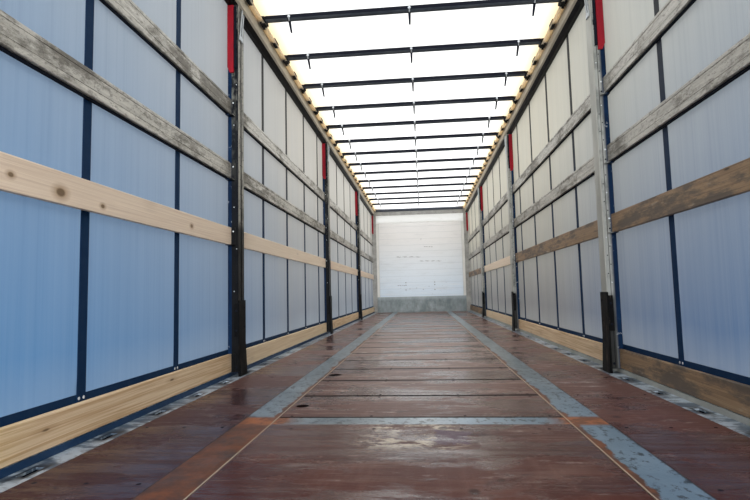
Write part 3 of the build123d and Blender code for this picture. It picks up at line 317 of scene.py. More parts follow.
def galvanised():
    """Zinc-coated steel: cloudy grey spangle and dull stains."""
    s = Shade("zinc", metallic=0.55)
    base = (0.34, 0.37, 0.39)
    cloud = s.noise(3.5, 6.0, 0.6)
    color = s.mix(s.ramp(cloud, 0.3, 0.7), base, times(base, 1.45))
    color = s.mix(s.ramp(s.cells(38.0), 0.0, 0.9, 0.0, 0.25), color, times(base, 0.7))
    color = s.coat(color, s.patches(0.52, 0.66, 11.0, 6.0, 0.7), 0.55, times(base, 0.35))
    s.bump(s.noise(60.0, 4.0, 0.6), 0.0004)
    return s.finish(color, s.ramp(cloud, 0.3, 0.7, 0.32, 0.5))


def floor_zinc():
    """Floor strips: pale zinc, speckled black, rusty along the covers and where the strips cross."""
    s = Shade("zinc_rusty", metallic=0.35)
    x = s.off_middle()
    y = s.axis("Y")
    cloud = s.noise(4.0, 6.0, 0.65)
    color = s.mix(s.ramp(cloud, 0.35, 0.65), (0.12, 0.165, 0.2), (0.3, 0.36, 0.4))
    near_right = s.both(s.ramp(s.axis("X"), 0.1, 0.2), s.fall(y, rear + 2.4, rear + 3.4))
    color = s.coat(color, near_right, 0.6, (0.2, 0.31, 0.42))
    speck = s.patches(0.53, 0.58, 30.0, 6.0, 0.78, (1.0, 0.6, 1.0))
    color = s.coat(color, speck, 0.9, (0.02, 0.028, 0.032))

    # Rust: along the inner edge, at the crossings, and on the left strip behind them
    ragged = s.scaled_plus(s.noise(9.0, 6.0, 0.7, (1.0, 0.6, 1.0)), 0.11, -0.035)
    long_strip = s.ramp(x, STRIP_IN - 0.001, STRIP_IN + 0.001)
    inner = s.both(s.fall(s.minus(x, s.plus(ragged, STRIP_IN + 0.002)), -0.004, 0.006), long_strip)
    cross_y = rear + WELL_REAR - CROSS_W / 2
    near_cross = s.fall(s.away(y, cross_y), 0.05, 0.085)
    corner = s.both(near_cross, s.ramp(s.plus(x, s.both(ragged, 2.0)), 0.53, 0.62))
    behind = s.both(s.fall(y, cross_y - 0.04, cross_y + 0.02), s.left(), long_strip)
    rusty = s.either(inner, corner, s.both(behind, s.ramp(cloud, 0.2, 0.5, 0.7, 1.0)))
    shade = s.noise(14.0, 6.0, 0.7)
    rust = s.mix(s.ramp(shade, 0.35, 0.65), (0.22, 0.062, 0.012), (0.055, 0.022, 0.012))
    rust = s.coat(rust, corner, s.ramp(shade, 0.45, 0.55), (0.38, 0.12, 0.035))
    color = s.mix(rusty, color, rust)

    from_edge = s.minus(x, STRIP_IN)
    bright = s.both(s.ramp(from_edge, 0.0015, 0.0025), s.fall(from_edge, 0.0065, 0.008))
    color = s.coat(color, bright, 0.75, (0.62, 0.5, 0.38))
    outer = s.both(s.ramp(x, STRIP_OUT - 0.002, STRIP_OUT - 0.0005), long_strip)
    color = s.mix(outer, color, (0.02, 0.016, 0.015))
    s.bump(s.noise(70.0, 5.0, 0.65), 0.0006)
    return s.finish(color, s.blend(rusty, 0.3, 0.45))


def kick_zinc():
    """Kick plate at the front: blue-grey zinc with pale and dark upright runs."""
    s = Shade("zinc_kick", metallic=0.3)
    runs = s.noise(7.0, 6.0, 0.75, (0.9, 1.0, 0.5))
    color = s.mix(s.ramp(runs, 0.38, 0.66), (0.105, 0.135, 0.145), (0.235, 0.27, 0.28))
    color = s.coat(color, s.patches(0.52, 0.68, 5.0, 6.0, 0.7), 0.7, (0.08, 0.1, 0.1))
    top = s.ramp(s.axis("Z"), floor_top + 0.3, floor_top + 0.4)
    color = s.coat(color, top, 0.5, (0.42, 0.47, 0.48))
    s.bump(runs, 0.001)
    return s.finish(color, 0.45)


def rail_zinc():
    """Side rails: blotched zinc, dark at the lashing slots in the upper face, which are painted shade."""
    s = Shade("rail_zinc", metallic=0.35)
    blotch = s.patches(0.46, 0.54, 5.0, 6.0, 0.7, (0.8, 2.2, 1.0))
    color = s.mix(blotch, (0.1, 0.14, 0.19), (0.5, 0.58, 0.66))
    color = s.coat(color, s.patches(0.52, 0.62, 30.0, 6.0, 0.75), 0.6, (0.05, 0.06, 0.07))
    across = s.fall(s.away(s.off_middle(), SLOT_X), 0.024, 0.03)
    upward = s.ramp(s.facing("Z"), 0.6, 0.9)
    # Painted shade: the lashing slots are painted near black on the closed upper face.
    slot = s.both(s.line("Y", slot_ys[0], SLOT_PITCH, 0.075), across, upward)
    color = s.coat(color, slot, 0.92, (0.008, 0.012, 0.022))
    s.bump(s.noise(60.0, 4.0, 0.6), 0.0004)
    return s.finish(color, 0.38)


def pine(name, pale, dark, grey=0.0, knots=()):
    """Planed board: long grain along the board, rings round knots, dirt. Knots: along, up, size."""
    s = Shade(name)
    y = s.axis("Y")
    z = s.axis("Z")
    bend = s.noise(2.2, 2.0, 0.4, (1.0, 0.5, 1.0))
    grain = s.noise(4.0, 5.0, 0.5, (12.0, 0.45, 34.0), distortion=0.6)
    rings = s.cells(2.6, (1.0, 1.0, 4.2))
    color = s.mix(s.ramp(grain, 0.4, 0.66, 0.0, 0.8), pale, dark)
    color = s.coat(color, s.ramp(rings, 0.05, 0.22, 0.6, 0.0), 0.7, times(dark, 0.75))
    color = s.mix(s.fall(rings, 0.035, 0.065), color, times(dark, 0.35))
    color = s.mix(s.ramp(bend, 0.5, 0.8, 0.0, 0.35), color, dark)
    if grey:
        stain = s.patches(0.46, 0.57, 5.0, 7.0, 0.75, (1.0, 0.5, 2.2))
        bare = s.patches(0.6, 0.67, 9.0, 6.0, 0.75, (1.0, 0.4, 2.5))
        color = s.coat(color, stain, grey, (0.075, 0.064, 0.055))
        color = s.coat(color, bare, 0.7, (0.42, 0.34, 0.25))
    else:
        color = s.coat(color, s.ramp(z, floor_top + 0.4, floor_top + 0.5), 0.45, (0.93, 0.82, 0.72))
    if knots:
        low_left = s.both(s.left(), s.fall(z, floor_top + 0.16, floor_top + 0.2))
        near = s.fall(s.scaled_plus(bend, 0.8, y), rear + 1.3, rear + 2.1)
        color = s.coat(color, s.both(low_left, near), 0.55, (0.66, 0.5, 0.1))
    for along, up, size in knots:
        off_y = s.math("DIVIDE", s.minus(y, rear + along), size * 1.5)
        off_z = s.math("DIVIDE", s.minus(z, floor_top + up), size)
        away = s.length(off_y, off_z)
        color = s.mix(s.both(s.left(), s.ramp(away, 0.9, 2.4, 0.7, 0.0)), color, times(dark, 0.75))
        color = s.mix(s.both(s.left(), s.ramp(away, 0.7, 1.1, 0.9, 0.0)), color, times(dark, 0.3))
    s.bump(grain, 0.0012)
    return s.finish(color, 0.62)


def slat_aluminium():
    """Weathered extrusion: pale grey with long dull streaks and grime, darker on the right."""
    s = Shade("slat_aluminium", metallic=0.35)
    streak = s.noise(6.0, 6.0, 0.7, (1.0, 0.5, 9.0))
    grime = s.patches(0.48, 0.57, 2.2, 8.0, 0.8, (1.0, 0.7, 1.8))
    dull = (0.13, 0.118, 0.096)
    color = s.mix(s.ramp(streak, 0.35, 0.65), (0.68, 0.66, 0.6), (0.42, 0.405, 0.36))
    color = s.coat(color, grime, 0.8, dull)
    color = s.coat(color, s.patches(0.52, 0.6, 45.0, 6.0, 0.8, (1.0, 0.5, 1.6)), 0.62, (0.09, 0.082, 0.07))
    color = s.mix(s.right(0.14, 0.3), color, dull)
    s.bump(streak, 0.0008)
    return s.finish(color, s.blend(grime, 0.42, 0.62))


def curtain_cloth(side, near_low, near_high, far_low, far_high):
    """Coated fabric that lets light through, with fine upright ribs; inside, it is bluer near the rear and
    low down, which is painted sky light from the open rear.
    """
    s = Shade(f"curtain_cloth_{side}", specular=0.3)
    z = s.axis("Z")
    along = s.ramp(s.axis("Y"), rear + 1.6, rear + 5.0)
    up = s.ramp(z, floor_top + 0.35, floor_top + 1.95)
    fine = s.noise(1.0, 5.0, 0.65, (1.0, 42.0, 0.5))
    broad = s.noise(1.0, 3.0, 0.5, (1.0, 9.0, 0.25))
    cloud = s.noise(0.9, 5.0, 0.55)
    low_dirt = s.fall(s.scaled_plus(cloud, 0.35, z), floor_top + 0.36, floor_top + 0.52)
    # Painted light: the inside colour goes from bluer near the rear and low down to warmer further forward
    # and higher up, as painted sky light.
    inside = s.mix(up, s.mix(along, near_low, far_low), s.mix(along, near_high, far_high))
    inside = s.mix(s.ramp(fine, 0.38, 0.66, 0.0, 0.07), inside, times(near_high, 1.5))
    inside = s.mix(s.ramp(fine, 0.3, 0.46, 0.08, 0.0), inside, times(near_low, 0.5))
    inside = s.mix(s.ramp(broad, 0.4, 0.65, 0.0, 0.05), inside, times(near_low, 0.7))
    inside = s.coat(inside, low_dirt, 0.18, times(near_high, 1.3))
    outside = s.mix(s.ramp(cloud, 0.35, 0.65), (0.2, 0.29, 0.4), (0.25, 0.34, 0.44))
    outside = s.coat(outside, low_dirt, 0.5, (0.22, 0.24, 0.26))
    outward = s.both(s.facing("X"), dict(SIDES)[side])
    color = s.mix(s.ramp(outward, 0.0, 0.1), inside, outside)
    s.bump(fine, 0.0009)
    return s.lit_through(color, 0.42, 0.42)


def clear_sheet():
    """Clear band above the front wall: milky sheet with a few dull smears."""
    s = Shade("clear_band", specular=0.3)
    smear = s.patches(0.58, 0.72, 6.0, 5.0, 0.6, (1.0, 1.0, 3.0))
    color = s.coat((0.998, 0.99, 0.965), smear, 0.35, (0.7, 0.64, 0.56))
    s.bump(smear, 0.0008)
    return s.lit_through(color, 0.4, 0.96)


def post_paint():
    """Side posts: zinc inner face with a groove and holes painted near black as shade, dark blue sides, black
    low down, on the left as painted shade.
    """
    s = Shade("post_paint", specular=0.06)
    z = s.axis("Z")
    out = s.off_middle()
    right = s.right()
    cloud = s.noise(6.0, 6.0, 0.7, (1.0, 1.0, 0.4))
    soft = s.ramp(cloud, 0.35, 0.7)
    patch = s.patches(0.47, 0.6, 10.0, 6.0, 0.7, (1.0, 1.5, 0.5))
    black = s.mix(s.ramp(cloud, 0.3, 0.7), (0.002, 0.0025, 0.004), (0.013, 0.013, 0.013))

    # Inner face: worn zinc, the groove up its middle and two staggered rows of holes, both painted near black
    # as shade
    zinc = s.mix(soft, (0.4, 0.385, 0.33), (0.2, 0.2, 0.175))
    zinc = s.coat(zinc, patch, s.blend(right, 0.75, 0.15), black)
    off = s.repeat("Y", post_ys[0], POST_PITCH)
    groove = s.fall(off, POST_GROOVE_W / 2, POST_GROOVE_W / 2 + 0.001)
    stagger = s.math("SIGN", s.math("SINE", s.both(z, math.pi / POST_HOLE_PITCH)))
    across = s.minus(off, s.scaled_plus(stagger, 0.01, 0.03))
    up = s.repeat("Z", floor_top + POST_HOLE_PITCH / 2, POST_HOLE_PITCH)
    hole = s.fall(s.length(across, up), 0.004, 0.0055)
    zinc = s.mix(s.either(groove, hole), zinc, (0.008, 0.008, 0.009))

    # Rear and front sides: blue on the outer half, steel on the left and grey on the right
    blue = s.mix(soft, (0.005, 0.024, 0.07), (0.003, 0.009, 0.026))
    blue = s.coat(blue, s.patches(0.66, 0.71, 28.0, 3.0, 0.6), 0.8, (0.3, 0.33, 0.36))
    high = s.ramp(s.scaled_plus(cloud, 0.5, z), floor_top + 1.55, floor_top + 2.25)
    steel = s.mix(soft, (0.012, 0.014, 0.017), (0.005, 0.006, 0.009))
    steel = s.coat(steel, s.both(high, patch), 0.75, (0.26, 0.26, 0.23))
    web = s.mix(right, steel, s.mix(patch, (0.34, 0.35, 0.33), (0.2, 0.21, 0.2)))
    web = s.mix(s.fall(s.away(out, POST_IN + 0.021), 0.0012, 0.002), web, (0.008, 0.008, 0.01))
    inner_half = s.fall(out, s.blend(right, POST_IN + 0.046, POST_IN + 0.03), POST_IN + 0.0475)
    inner_face = s.ramp(s.math("ABSOLUTE", s.facing("X")), 0.6, 0.8)
    color = s.mix(inner_face, s.mix(inner_half, blue, web), zinc)

    # Black below a cloudy border: the black foot on the right, and painted shade up to about a metre on the
    # left
    border = s.scaled_plus(cloud, 0.1, s.blend(right, floor_top + 0.99, floor_top + 0.46))
    low = s.fall(s.minus(z, border), -0.06, 0.0)
    color = s.coat(color, low, s.either(s.both(inner_face, 0.93), s.both(inner_half, 0.92)), black)
    s.bump(s.noise(45.0, 5.0, 0.6), 0.0006)
    return s.finish(color, 0.42)


def front_panel():
    """White coated wall: narrow horizontal boards, bluish low down, streaks, chips and pale edges."""
    s = Shade("front_panel")
    low = s.fall(s.axis("Z"), floor_top + 0.4, floor_top + 1.9)
    board = s.line("Z", floor_top + 0.11, 0.165, 0.006)
    scuff = s.patches(0.52, 0.68, 4.0, 6.0, 0.7, (0.35, 1.0, 6.0))
    grime = s.patches(0.5, 0.66, 3.0, 7.0, 0.72, (0.7, 1.0, 3.5))
    chips = s.patches(0.67, 0.71, 24.0, 3.0, 0.6)
    color = s.mix(low, (0.89, 0.88, 0.87), (0.8, 0.9, 0.99))
    color = s.coat(color, grime, 0.22, (0.6, 0.62, 0.62))
    color = s.coat(color, s.both(scuff, low), 0.5, (0.95, 0.96, 0.97))
    color = s.coat(color, board, 0.28, (0.5, 0.54, 0.57))
    color = s.coat(color, s.both(chips, low), 0.55, (0.28, 0.31, 0.34))
    edge_x = 1.088
    color = s.coat(color, s.line("X", edge_x, 2 * edge_x, 0.005), 0.6, (0.4, 0.42, 0.42))
    s.bump(board, 0.0015)
    return s.lit_through(color, 0.34, 0.3)


def front_frame_paint():
    """Front frame: grey pillars, and a header that is dark blue in its upper part."""
    s = Shade("front_frame")
    upper = s.ramp(s.axis("Z"), floor_top + 2.655, floor_top + 2.665)
    header = s.both(upper, s.fall(s.off_middle(), 1.15, 1.154))
    soft = s.patches(0.35, 0.7, 6.0, 6.0, 0.65)
    grey = s.mix(soft, (0.36, 0.36, 0.34), (0.2, 0.2, 0.19))
    blue = s.mix(soft, (0.035, 0.05, 0.085), (0.08, 0.09, 0.11))
    s.bump(s.noise(60.0, 4.0, 0.6), 0.0004)
    return s.finish(s.mix(header, grey, blue), 0.45)


def bow_paint_and_light():
    """Roof bows: dark navy, the sides painted nearly black as painted shade and the underside painted paler
    blue-grey as a painted highlight.
    """
    s = Shade("bow_paint_and_light", specular=0.1)
    # Painted shade on the sides, and a painted highlight on the underside.
    under = s.fall(s.facing("Z"), -0.9, -0.3)
    soft = s.patches(0.35, 0.7, 6.0, 6.0, 0.6, (0.6, 1.0, 1.0))
    side = s.mix(soft, (0.0015, 0.0025, 0.01), (0.005, 0.007, 0.014))
    pale = s.mix(soft, (0.045, 0.056, 0.072), (0.105, 0.118, 0.13))
    s.bump(s.noise(50.0, 4.0, 0.6), 0.0005)
    return s.finish(s.mix(under, side, pale), 0.38)


def cantrail_paint_and_light():
    """Cantrails: black further out, and beige on the inner side as painted light."""
    s = Shade("cantrail_paint_and_light", specular=0.1)
    # Painted light: the inner side is painted beige.
    inner = s.fall(s.off_middle(), 1.2025, 1.204)
    soft = s.patches(0.35, 0.7, 5.0, 6.0, 0.65, (1.0, 0.4, 1.0))
    beige = s.mix(soft, (0.5, 0.45, 0.36), (0.3, 0.275, 0.22))
    black = s.mix(soft, (0.003, 0.003, 0.004), (0.01, 0.01, 0.01))
    s.bump(s.noise(50.0, 4.0, 0.6), 0.0004)
    return s.finish(s.mix(inner, black, beige), 0.45)


def foot_paint():
    """Post feet: worn black, stained brown, most on the right."""
    s = Shade("foot_paint", specular=0.04)
    soft = s.patches(0.35, 0.7, 8.0, 6.0, 0.7, (1.0, 1.0, 0.5))
    runs = s.patches(0.56, 0.66, 22.0, 5.0, 0.7, (1.0, 2.0, 0.25))
    color = s.mix(soft, (0.0015, 0.002, 0.003), (0.008, 0.008, 0.008))
    color = s.coat(color, runs, s.right(0.1, 0.55), (0.14, 0.1, 0.07))
    s.bump(s.noise(45.0, 5.0, 0.6), 0.0007)
    return s.finish(color, 0.42)


def roof_cloth():
    """White roof tarpaulin, lit through: from below, both edges are painted yellow as a painted warm glow;
    from above, it is painted greyer as painted shade.
    """
    s = Shade("roof_cloth", specular=0.3)
    below = s.fall(s.facing("Z"), -0.3, -0.1)
    # Painted warm glow: seen from below, both edges are painted yellow.
    edge = s.both(below, s.ramp(s.off_middle(), 1.0, 1.2))
    color = s.mix(s.patches(0.3, 0.7, 1.4, 5.0, 0.6), (0.8, 0.795, 0.78), (0.72, 0.715, 0.7))
    color = s.coat(color, edge, 0.9, (0.62, 0.43, 0.17))
    color = s.coat(color, s.patches(0.6, 0.72, 9.0, 6.0, 0.75), 0.75, (0.4, 0.37, 0.31))
    # Painted shade: seen from above, the cloth is painted greyer.
    color = s.mix(s.blend(below, 0.35, 0.0), color, (0.36, 0.36, 0.355))
    s.bump(s.noise(3.0, 4.0, 0.5, (1.0, 2.0, 1.0)), 0.004)
    return s.lit_through(color, 0.5, s.blend(below, 0.55, 0.86))


def painted_glow_bar():
    """Bars along the roof edge: cream and lit through from above, a painted glow that stands in for the roof
    cloth's edge lit from above.
    """
    s = Shade("painted_glow_bar", specular=0.2)
    color = s.mix(s.patches(0.35, 0.7, 8.0), (0.99, 0.95, 0.87), (0.95, 0.88, 0.76))
    s.bump(s.noise(40.0), 0.0003)
    return s.lit_through(color, 0.5, 0.75)


def webbing():
    """Straps: navy webbing, painted greyer high up and further forward, and on the right, as painted light.
    """
    s = Shade("navy_webbing", specular=0.1)
    # Painted light: the straps are painted grey further forward, on the right and high up.
    side = s.either(s.ramp(s.axis("Y"), rear + 2.6, rear + 3.6), s.right(0.0, 0.9))
    painted_light_grey = s.both(side, s.ramp(s.axis("Z"), floor_top + 0.9, floor_top + 1.9))
    color = s.coat((0.004, 0.024, 0.07), s.patches(0.4, 0.75, 20.0, 6.0), 0.5, (0.012, 0.036, 0.085))
    color = s.coat(color, painted_light_grey, 0.85, (0.062, 0.06, 0.052))
    s.bump(s.noise(240.0, 5.0, 0.6), 0.0004)
    return s.finish(color, 0.7)


def door_skin():
    """Rear door panels: pale coated plywood with dull runs below."""
    s = Shade("door_skin")
    runs = s.patches(0.54, 0.7, 5.0, 6.0, 0.7, (2.0, 2.0, 0.25))
    low = s.ramp(s.axis("Z"), floor_top, floor_top + 1.4, 1.0, 0.1)
    color = s.mix(s.patches(0.3, 0.7, 2.2, 6.0, 0.6), (0.66, 0.68, 0.7), (0.56, 0.57, 0.58))
    color = s.coat(color, s.both(runs, low), 0.55, (0.34, 0.32, 0.3))
    s.bump(s.noise(30.0, 4.0, 0.6), 0.0004)
    return s.finish(color, 0.36)


CHASSIS = worn("chassis_paint", (0.035, 0.038, 0.042), (0.12, 0.11, 0.1), 0.5, scale=3.0)
STEEL = worn("bare_steel", (0.3, 0.29, 0.28), (0.12, 0.09, 0.07), 0.4, 0.8, scale=5.0)
ZINC = galvanised()
RAIL = rail_zinc()
PINE = pine("pine_fresh", (0.8, 0.61, 0.4), (0.5, 0.3, 0.14),
            knots=((1.71, 0.914, 0.016), (2.761, 0.925, 0.01), (1.484, 0.927, 0.008), (1.954, 0.904, 0.008)))
PINE_PALE = pine("pine_pale", (0.8, 0.64, 0.44), (0.64, 0.46, 0.28))
PINE_OLD = pine("pine_aged", (0.34, 0.22, 0.12), (0.2, 0.125, 0.07), grey=0.8)
ALU = slat_aluminium()
FRAME_GREY = worn("frame_grey", (0.34, 0.35, 0.34), (0.2, 0.2, 0.19), 0.45, 0.1, scale=5.0)
BLACK = worn("black_plastic", (0.008, 0.008, 0.009), (0.03, 0.03, 0.03), 0.55, scale=8.0, specular=0.15)
RUBBER = worn("rubber", (0.016, 0.016, 0.017), (0.055, 0.052, 0.048), 0.75, scale=9.0)
BLACK_STEEL = worn("black_steel", (0.006, 0.007, 0.01), (0.028, 0.028, 0.03), 0.45, scale=7.0, specular=0.12)
RED = worn("red_paint", (0.3, 0.002, 0.012), (0.1, 0.004, 0.012), 0.55, scale=9.0, stretch=(1, 1, 0.3),
           amount=0.8, specular=0.2)
RUNNER = worn("runner", (0.46, 0.37, 0.22), (0.2, 0.16, 0.1), 0.5, 0.2, scale=6.0)
ROOF = roof_cloth()
# Each curtain's inside colours, near the rear low and high, then further forward low and high, are painted
# sky light from the open rear.
CURTAINS = {
    "left": curtain_cloth("left", (0.125, 0.275, 0.5), (0.33, 0.395, 0.47),
                          (0.26, 0.285, 0.32), (0.5, 0.475, 0.42)),
    "right": curtain_cloth("right", (0.095, 0.185, 0.345), (0.41, 0.43, 0.42),
                           (0.22, 0.215, 0.21), (0.56, 0.53, 0.43)),
}
STRAP = webbing()
TYRE = worn("tyre_rubber", (0.018, 0.018, 0.019), (0.075, 0.07, 0.062), 0.8, scale=7.0)
RIM = worn("rim_paint", (0.42, 0.43, 0.45), (0.18, 0.17, 0.16), 0.38, 0.6, scale=8.0)
LENS = worn("lamp_lens", (0.42, 0.01, 0.01), (0.28, 0.008, 0.008), 0.18, scale=40.0)
AMBER = worn("amber_lens", (0.62, 0.2, 0.01), (0.45, 0.13, 0.01), 0.18, scale=40.0)
WHITE_LENS = worn("white_lens", (0.7, 0.7, 0.68), (0.5, 0.5, 0.48), 0.15, scale=40.0)
BRIGHT = worn("bright_zinc", (0.66, 0.7, 0.74), (0.4, 0.43, 0.46), 0.3, 0.5, scale=30.0)
NAVY = worn("navy_steel", (0.008, 0.034, 0.09), (0.02, 0.045, 0.09), 0.42, scale=9.0, specular=0.2)
PAINTED_GLOW = painted_glow_bar()
COVER = worn("post_cover", (0.42, 0.42, 0.38), (0.26, 0.27, 0.25), 0.45, 0.3, scale=7.0, stretch=(1, 1, 0.3))
# Painted shade: near black for holes, slots, trays and screw recesses, and for the painted shadow under the
# aluminium slats; the stops beside the levers use it too.
HOLE = worn("dark_recess", (0.006, 0.008, 0.014), (0.015, 0.017, 0.022), 0.7, scale=30.0, specular=0.05)
MARK = worn("scuff_mark", (0.16, 0.16, 0.165), (0.34, 0.35, 0.36), 0.6, scale=40.0)
TRIM = worn("edge_trim", (0.8, 0.8, 0.76), (0.6, 0.6, 0.57), 0.4, scale=5.0)

# Looks by the material slot of a node, and of single nodes
BY_SLOT = {
    "chassis_paint": CHASSIS, "bare_steel": STEEL, "galvanised": ZINC, "floor_ply": floor_plywood(),
    "frame_grey": FRAME_GREY, "white_panel": front_panel(), "clear_band": clear_sheet(),
    "black_plastic": BLACK, "rubber": RUBBER, "lamp_red": LENS, "post_steel": post_paint(),
    "black_steel": BLACK_STEEL, "red_steel": RED, "timber": PINE, "aluminium": ALU,
    "runner_brass": RUNNER, "bow_steel": bow_paint_and_light(), "roof_fabric": ROOF,
    "curtain_fabric": CURTAINS["left"], "strap_navy": STRAP, "tyre": TYRE, "rim": RIM,
    "door_panel": door_skin(),
}
OWN = {
    "side_rail_left": RAIL, "side_rail_right": RAIL, "kick_plate": kick_zinc(), "floor_strips": floor_zinc(),
    "front_frame": front_frame_paint(), "cantrails": cantrail_paint_and_light(), "post_feet": foot_paint(),
}
SLOT_OF = {part["node"]: part["material_slot"] for part in frame["record"]["subparts"]}
for name, obj in nodes.items():
    obj.data.materials.clear()
    obj.data.materials.append(OWN.get(name, BY_SLOT[SLOT_OF[name]]))


def placed(name, data):
    """An object in the scene for a mesh, a lamp or a camera."""
    made = bpy.data.objects.new(name, data)
    bpy.context.scene.collection.objects.link(made)
    return made


def piece(name, bm, material, body=ROOT, smooth=False):
    """A new object from a bmesh, riding on a body."""
    mesh = bpy.data.meshes.new(name)
    bmesh.ops.recalc_face_normals(bm, faces=bm.faces)
    bm.to_mesh(mesh)
    bm.free()
    mesh.materials.append(material)
    for face in mesh.polygons:
        face.use_smooth = smooth
    made = placed(name, mesh)
    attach(made, body)
    return made


def around(middle, half):
    """A stretch from half before a middle to half past it."""
    return (middle - half, middle + half)


def above_floor(low, high):
    return (floor_top + low, floor_top + high)


def bar(bm, s, xs, ys, zs, bevel=0.0, steps=2):
    """A bar that fills a stretch outward, along and up, its edges rounded. s is the side, 1 or -1."""
    stretches = [sorted(stretch) for stretch in ((s * xs[0], s * xs[1]), ys, zs)]
    middle = [(low + high) / 2 for low, high in stretches]
    size = [high - low for low, high in stretches]
    place = Matrix.Translation(middle) @ Matrix.Diagonal((*size, 1.0))
    made = bmesh.ops.create_cube(bm, size=1.0, matrix=place)
    if bevel:
        edges = {edge for vert in made["verts"] for edge in vert.link_edges}
        bmesh.ops.bevel(bm, geom=list(edges), offset=bevel, segments=steps, affect="EDGES", profile=0.5)


def cylinder(bm, start, end, radius, sides=12):
    """A round bar from one point to another."""
    start, end = Vector(start), Vector(end)
    run = end - start
    turn = run.to_track_quat("Z", "Y").to_matrix().to_4x4()
    place = Matrix.Translation((start + end) / 2) @ turn
    bmesh.ops.create_cone(bm, cap_ends=True, segments=sides, radius1=radius, radius2=radius,
                          depth=run.length, matrix=place)


def circle(count, radius, turn=0.0):
    """Places evenly round a circle, turned by a part of a step."""
    angles = [2 * math.pi * (n + turn) / count for n in range(count)]
    return [(radius * math.cos(angle), radius * math.sin(angle)) for angle in angles]


def quads(bm, rows, closed=False):
    """Faces between rows of corners. A closed row's last corner joins its first."""
    for a, b in zip(rows, rows[1:]):
        for j in range(0 if closed else 1, len(a)):
            bm.faces.new((a[j - 1], b[j - 1], b[j], a[j]))


def rivet(bm, place, normal, radius, height, sides=8):
    """A domed head on a surface."""
    normal = Vector(normal).normalized()
    across = normal.orthogonal().normalized()
    other = normal.cross(across)
    rings = []
    for share, up in ((1.0, 0.0), (0.85, 0.6), (0.45, 1.0)):
        base = Vector(place) + normal * height * up
        rings.append([bm.verts.new(base + across * a + other * b) for a, b in circle(sides, radius * share)])
    quads(bm, rings, closed=True)
    bm.faces.new(rings[0][::-1])
    bm.faces.new(rings[-1])


def lathe(bm, centre, s, profile, steps, sink=None):
    """A closed profile of (outward, radius) turned about an axis along X, starting straight down."""
    rings = []
    for n, (down, along) in enumerate(circle(steps, 1.0)):
        ring = []
        for x, radius in profile:
            r = radius - (sink(n, x, radius) if sink else 0.0)
            ring.append(bm.verts.new((centre[0] + s * x, centre[1] + r * along, centre[2] - r * down)))
        rings.append(ring)
    quads(bm, rings + rings[:1], closed=True)


def extrusion(bm, points, start, end):
    """A closed outline of (x, z) pushed along Y."""
    near = [bm.verts.new((x, start, z)) for x, z in points]
    far = [bm.verts.new((x, end, z)) for x, z in points]
    quads(bm, [near, far], closed=True)
    bm.faces.new(near)
    bm.faces.new(far[::-1])


def hang(y, lines, pitch, flat=0.0):
    """How far a sheet gives way between the lines that hold it: 0 on a line, 1 halfway to the next."""
    near = max(0.0, min(abs(y - line) for line in lines) - flat)
    reach = pitch / 2 - flat
    return math.sin(min(near, reach) / reach * math.pi / 2)


# Slats, as separate boards between the posts: lower edge above the floor, and whether it is timber
SLAT_ROWS = ((0.03, True), (0.873, True), (1.317, False), (1.764, False))
SLAT_H = 0.118
SLAT_T = 0.022
SLAT_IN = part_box("timber_slats")[1][0] - SLAT_T
SLAT_GAP = 0.0003
PORTAL_D = 0.11           # taken by the rear portal and the front frame at the slats' ends
FRAME_D = 0.06
# The aluminium face, outward and up: two shallow grooves, near its upper edge and above the lip
SLAT_FACE = ((0.003, 0.01), (0.0, 0.013), (0.0, 0.04), (0.0015, 0.0415), (0.0, 0.043), (0.0, 0.094),
             (0.002, 0.096), (0.002, 0.0985), (0.0, 0.1005), (0.0, 0.115), (0.003, 0.118),
             (0.02, 0.118), (0.022, 0.115), (0.022, 0.01))
# The boards seen aged or pale in the photograph: side, row, bay
AGED = {("right", 0, 0), ("right", 1, 0), ("right", 1, 1), ("right", 1, 3), ("right", 0, 3)}
PALE = {("left", 0, 1), ("left", 1, 1), ("right", 0, 2), ("right", 1, 2), ("left", 0, 3)}
stops = [rear + PORTAL_D + SLAT_GAP]
for y in post_ys:
    stops += around(y, POST_W / 2 + SLAT_GAP)
stops += [front - FRAME_D - SLAT_GAP]


def timber_slat(side, s, row, bay, ends, low_z):
    key = (side, row, bay)
    bm = bmesh.new()
    bar(bm, s, (SLAT_IN, SLAT_IN + SLAT_T), ends, (low_z, low_z + SLAT_H), 0.003)
    material = PINE_OLD if key in AGED else PINE_PALE if key in PALE else PINE
    piece(f"slat_{side}_{row}_{bay}", bm, material)


def aluminium_slat(side, s, row, bay, ends, low_z):
    """A grooved extrusion, and the dark lip below it, near black as a painted shadow under the slat."""
    bm = bmesh.new()
    extrusion(bm, [(s * (SLAT_IN + x), low_z + z) for x, z in SLAT_FACE], *ends)
    piece(f"slat_{side}_{row}_{bay}", bm, ALU)
    bm = bmesh.new()
    # Painted shadow: the near black lip under the slat.
    bar(bm, s, (SLAT_IN + SLAT_T / 2, SLAT_IN + SLAT_T), ends, (low_z - 0.002, low_z + 0.0098), 0.002)
    piece(f"slat_lip_{side}_{row}_{bay}", bm, HOLE)


for side, s in SIDES:
    for row, (bottom, timber) in enumerate(SLAT_ROWS):
        make_slat = timber_slat if timber else aluminium_slat
        for bay, ends in enumerate(zip(stops[0::2], stops[1::2])):
            make_slat(side, s, row, bay, ends, floor_top + bottom)
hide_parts("timber_slats")
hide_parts("aluminium_slats")

CURTAIN_X = 1.2665


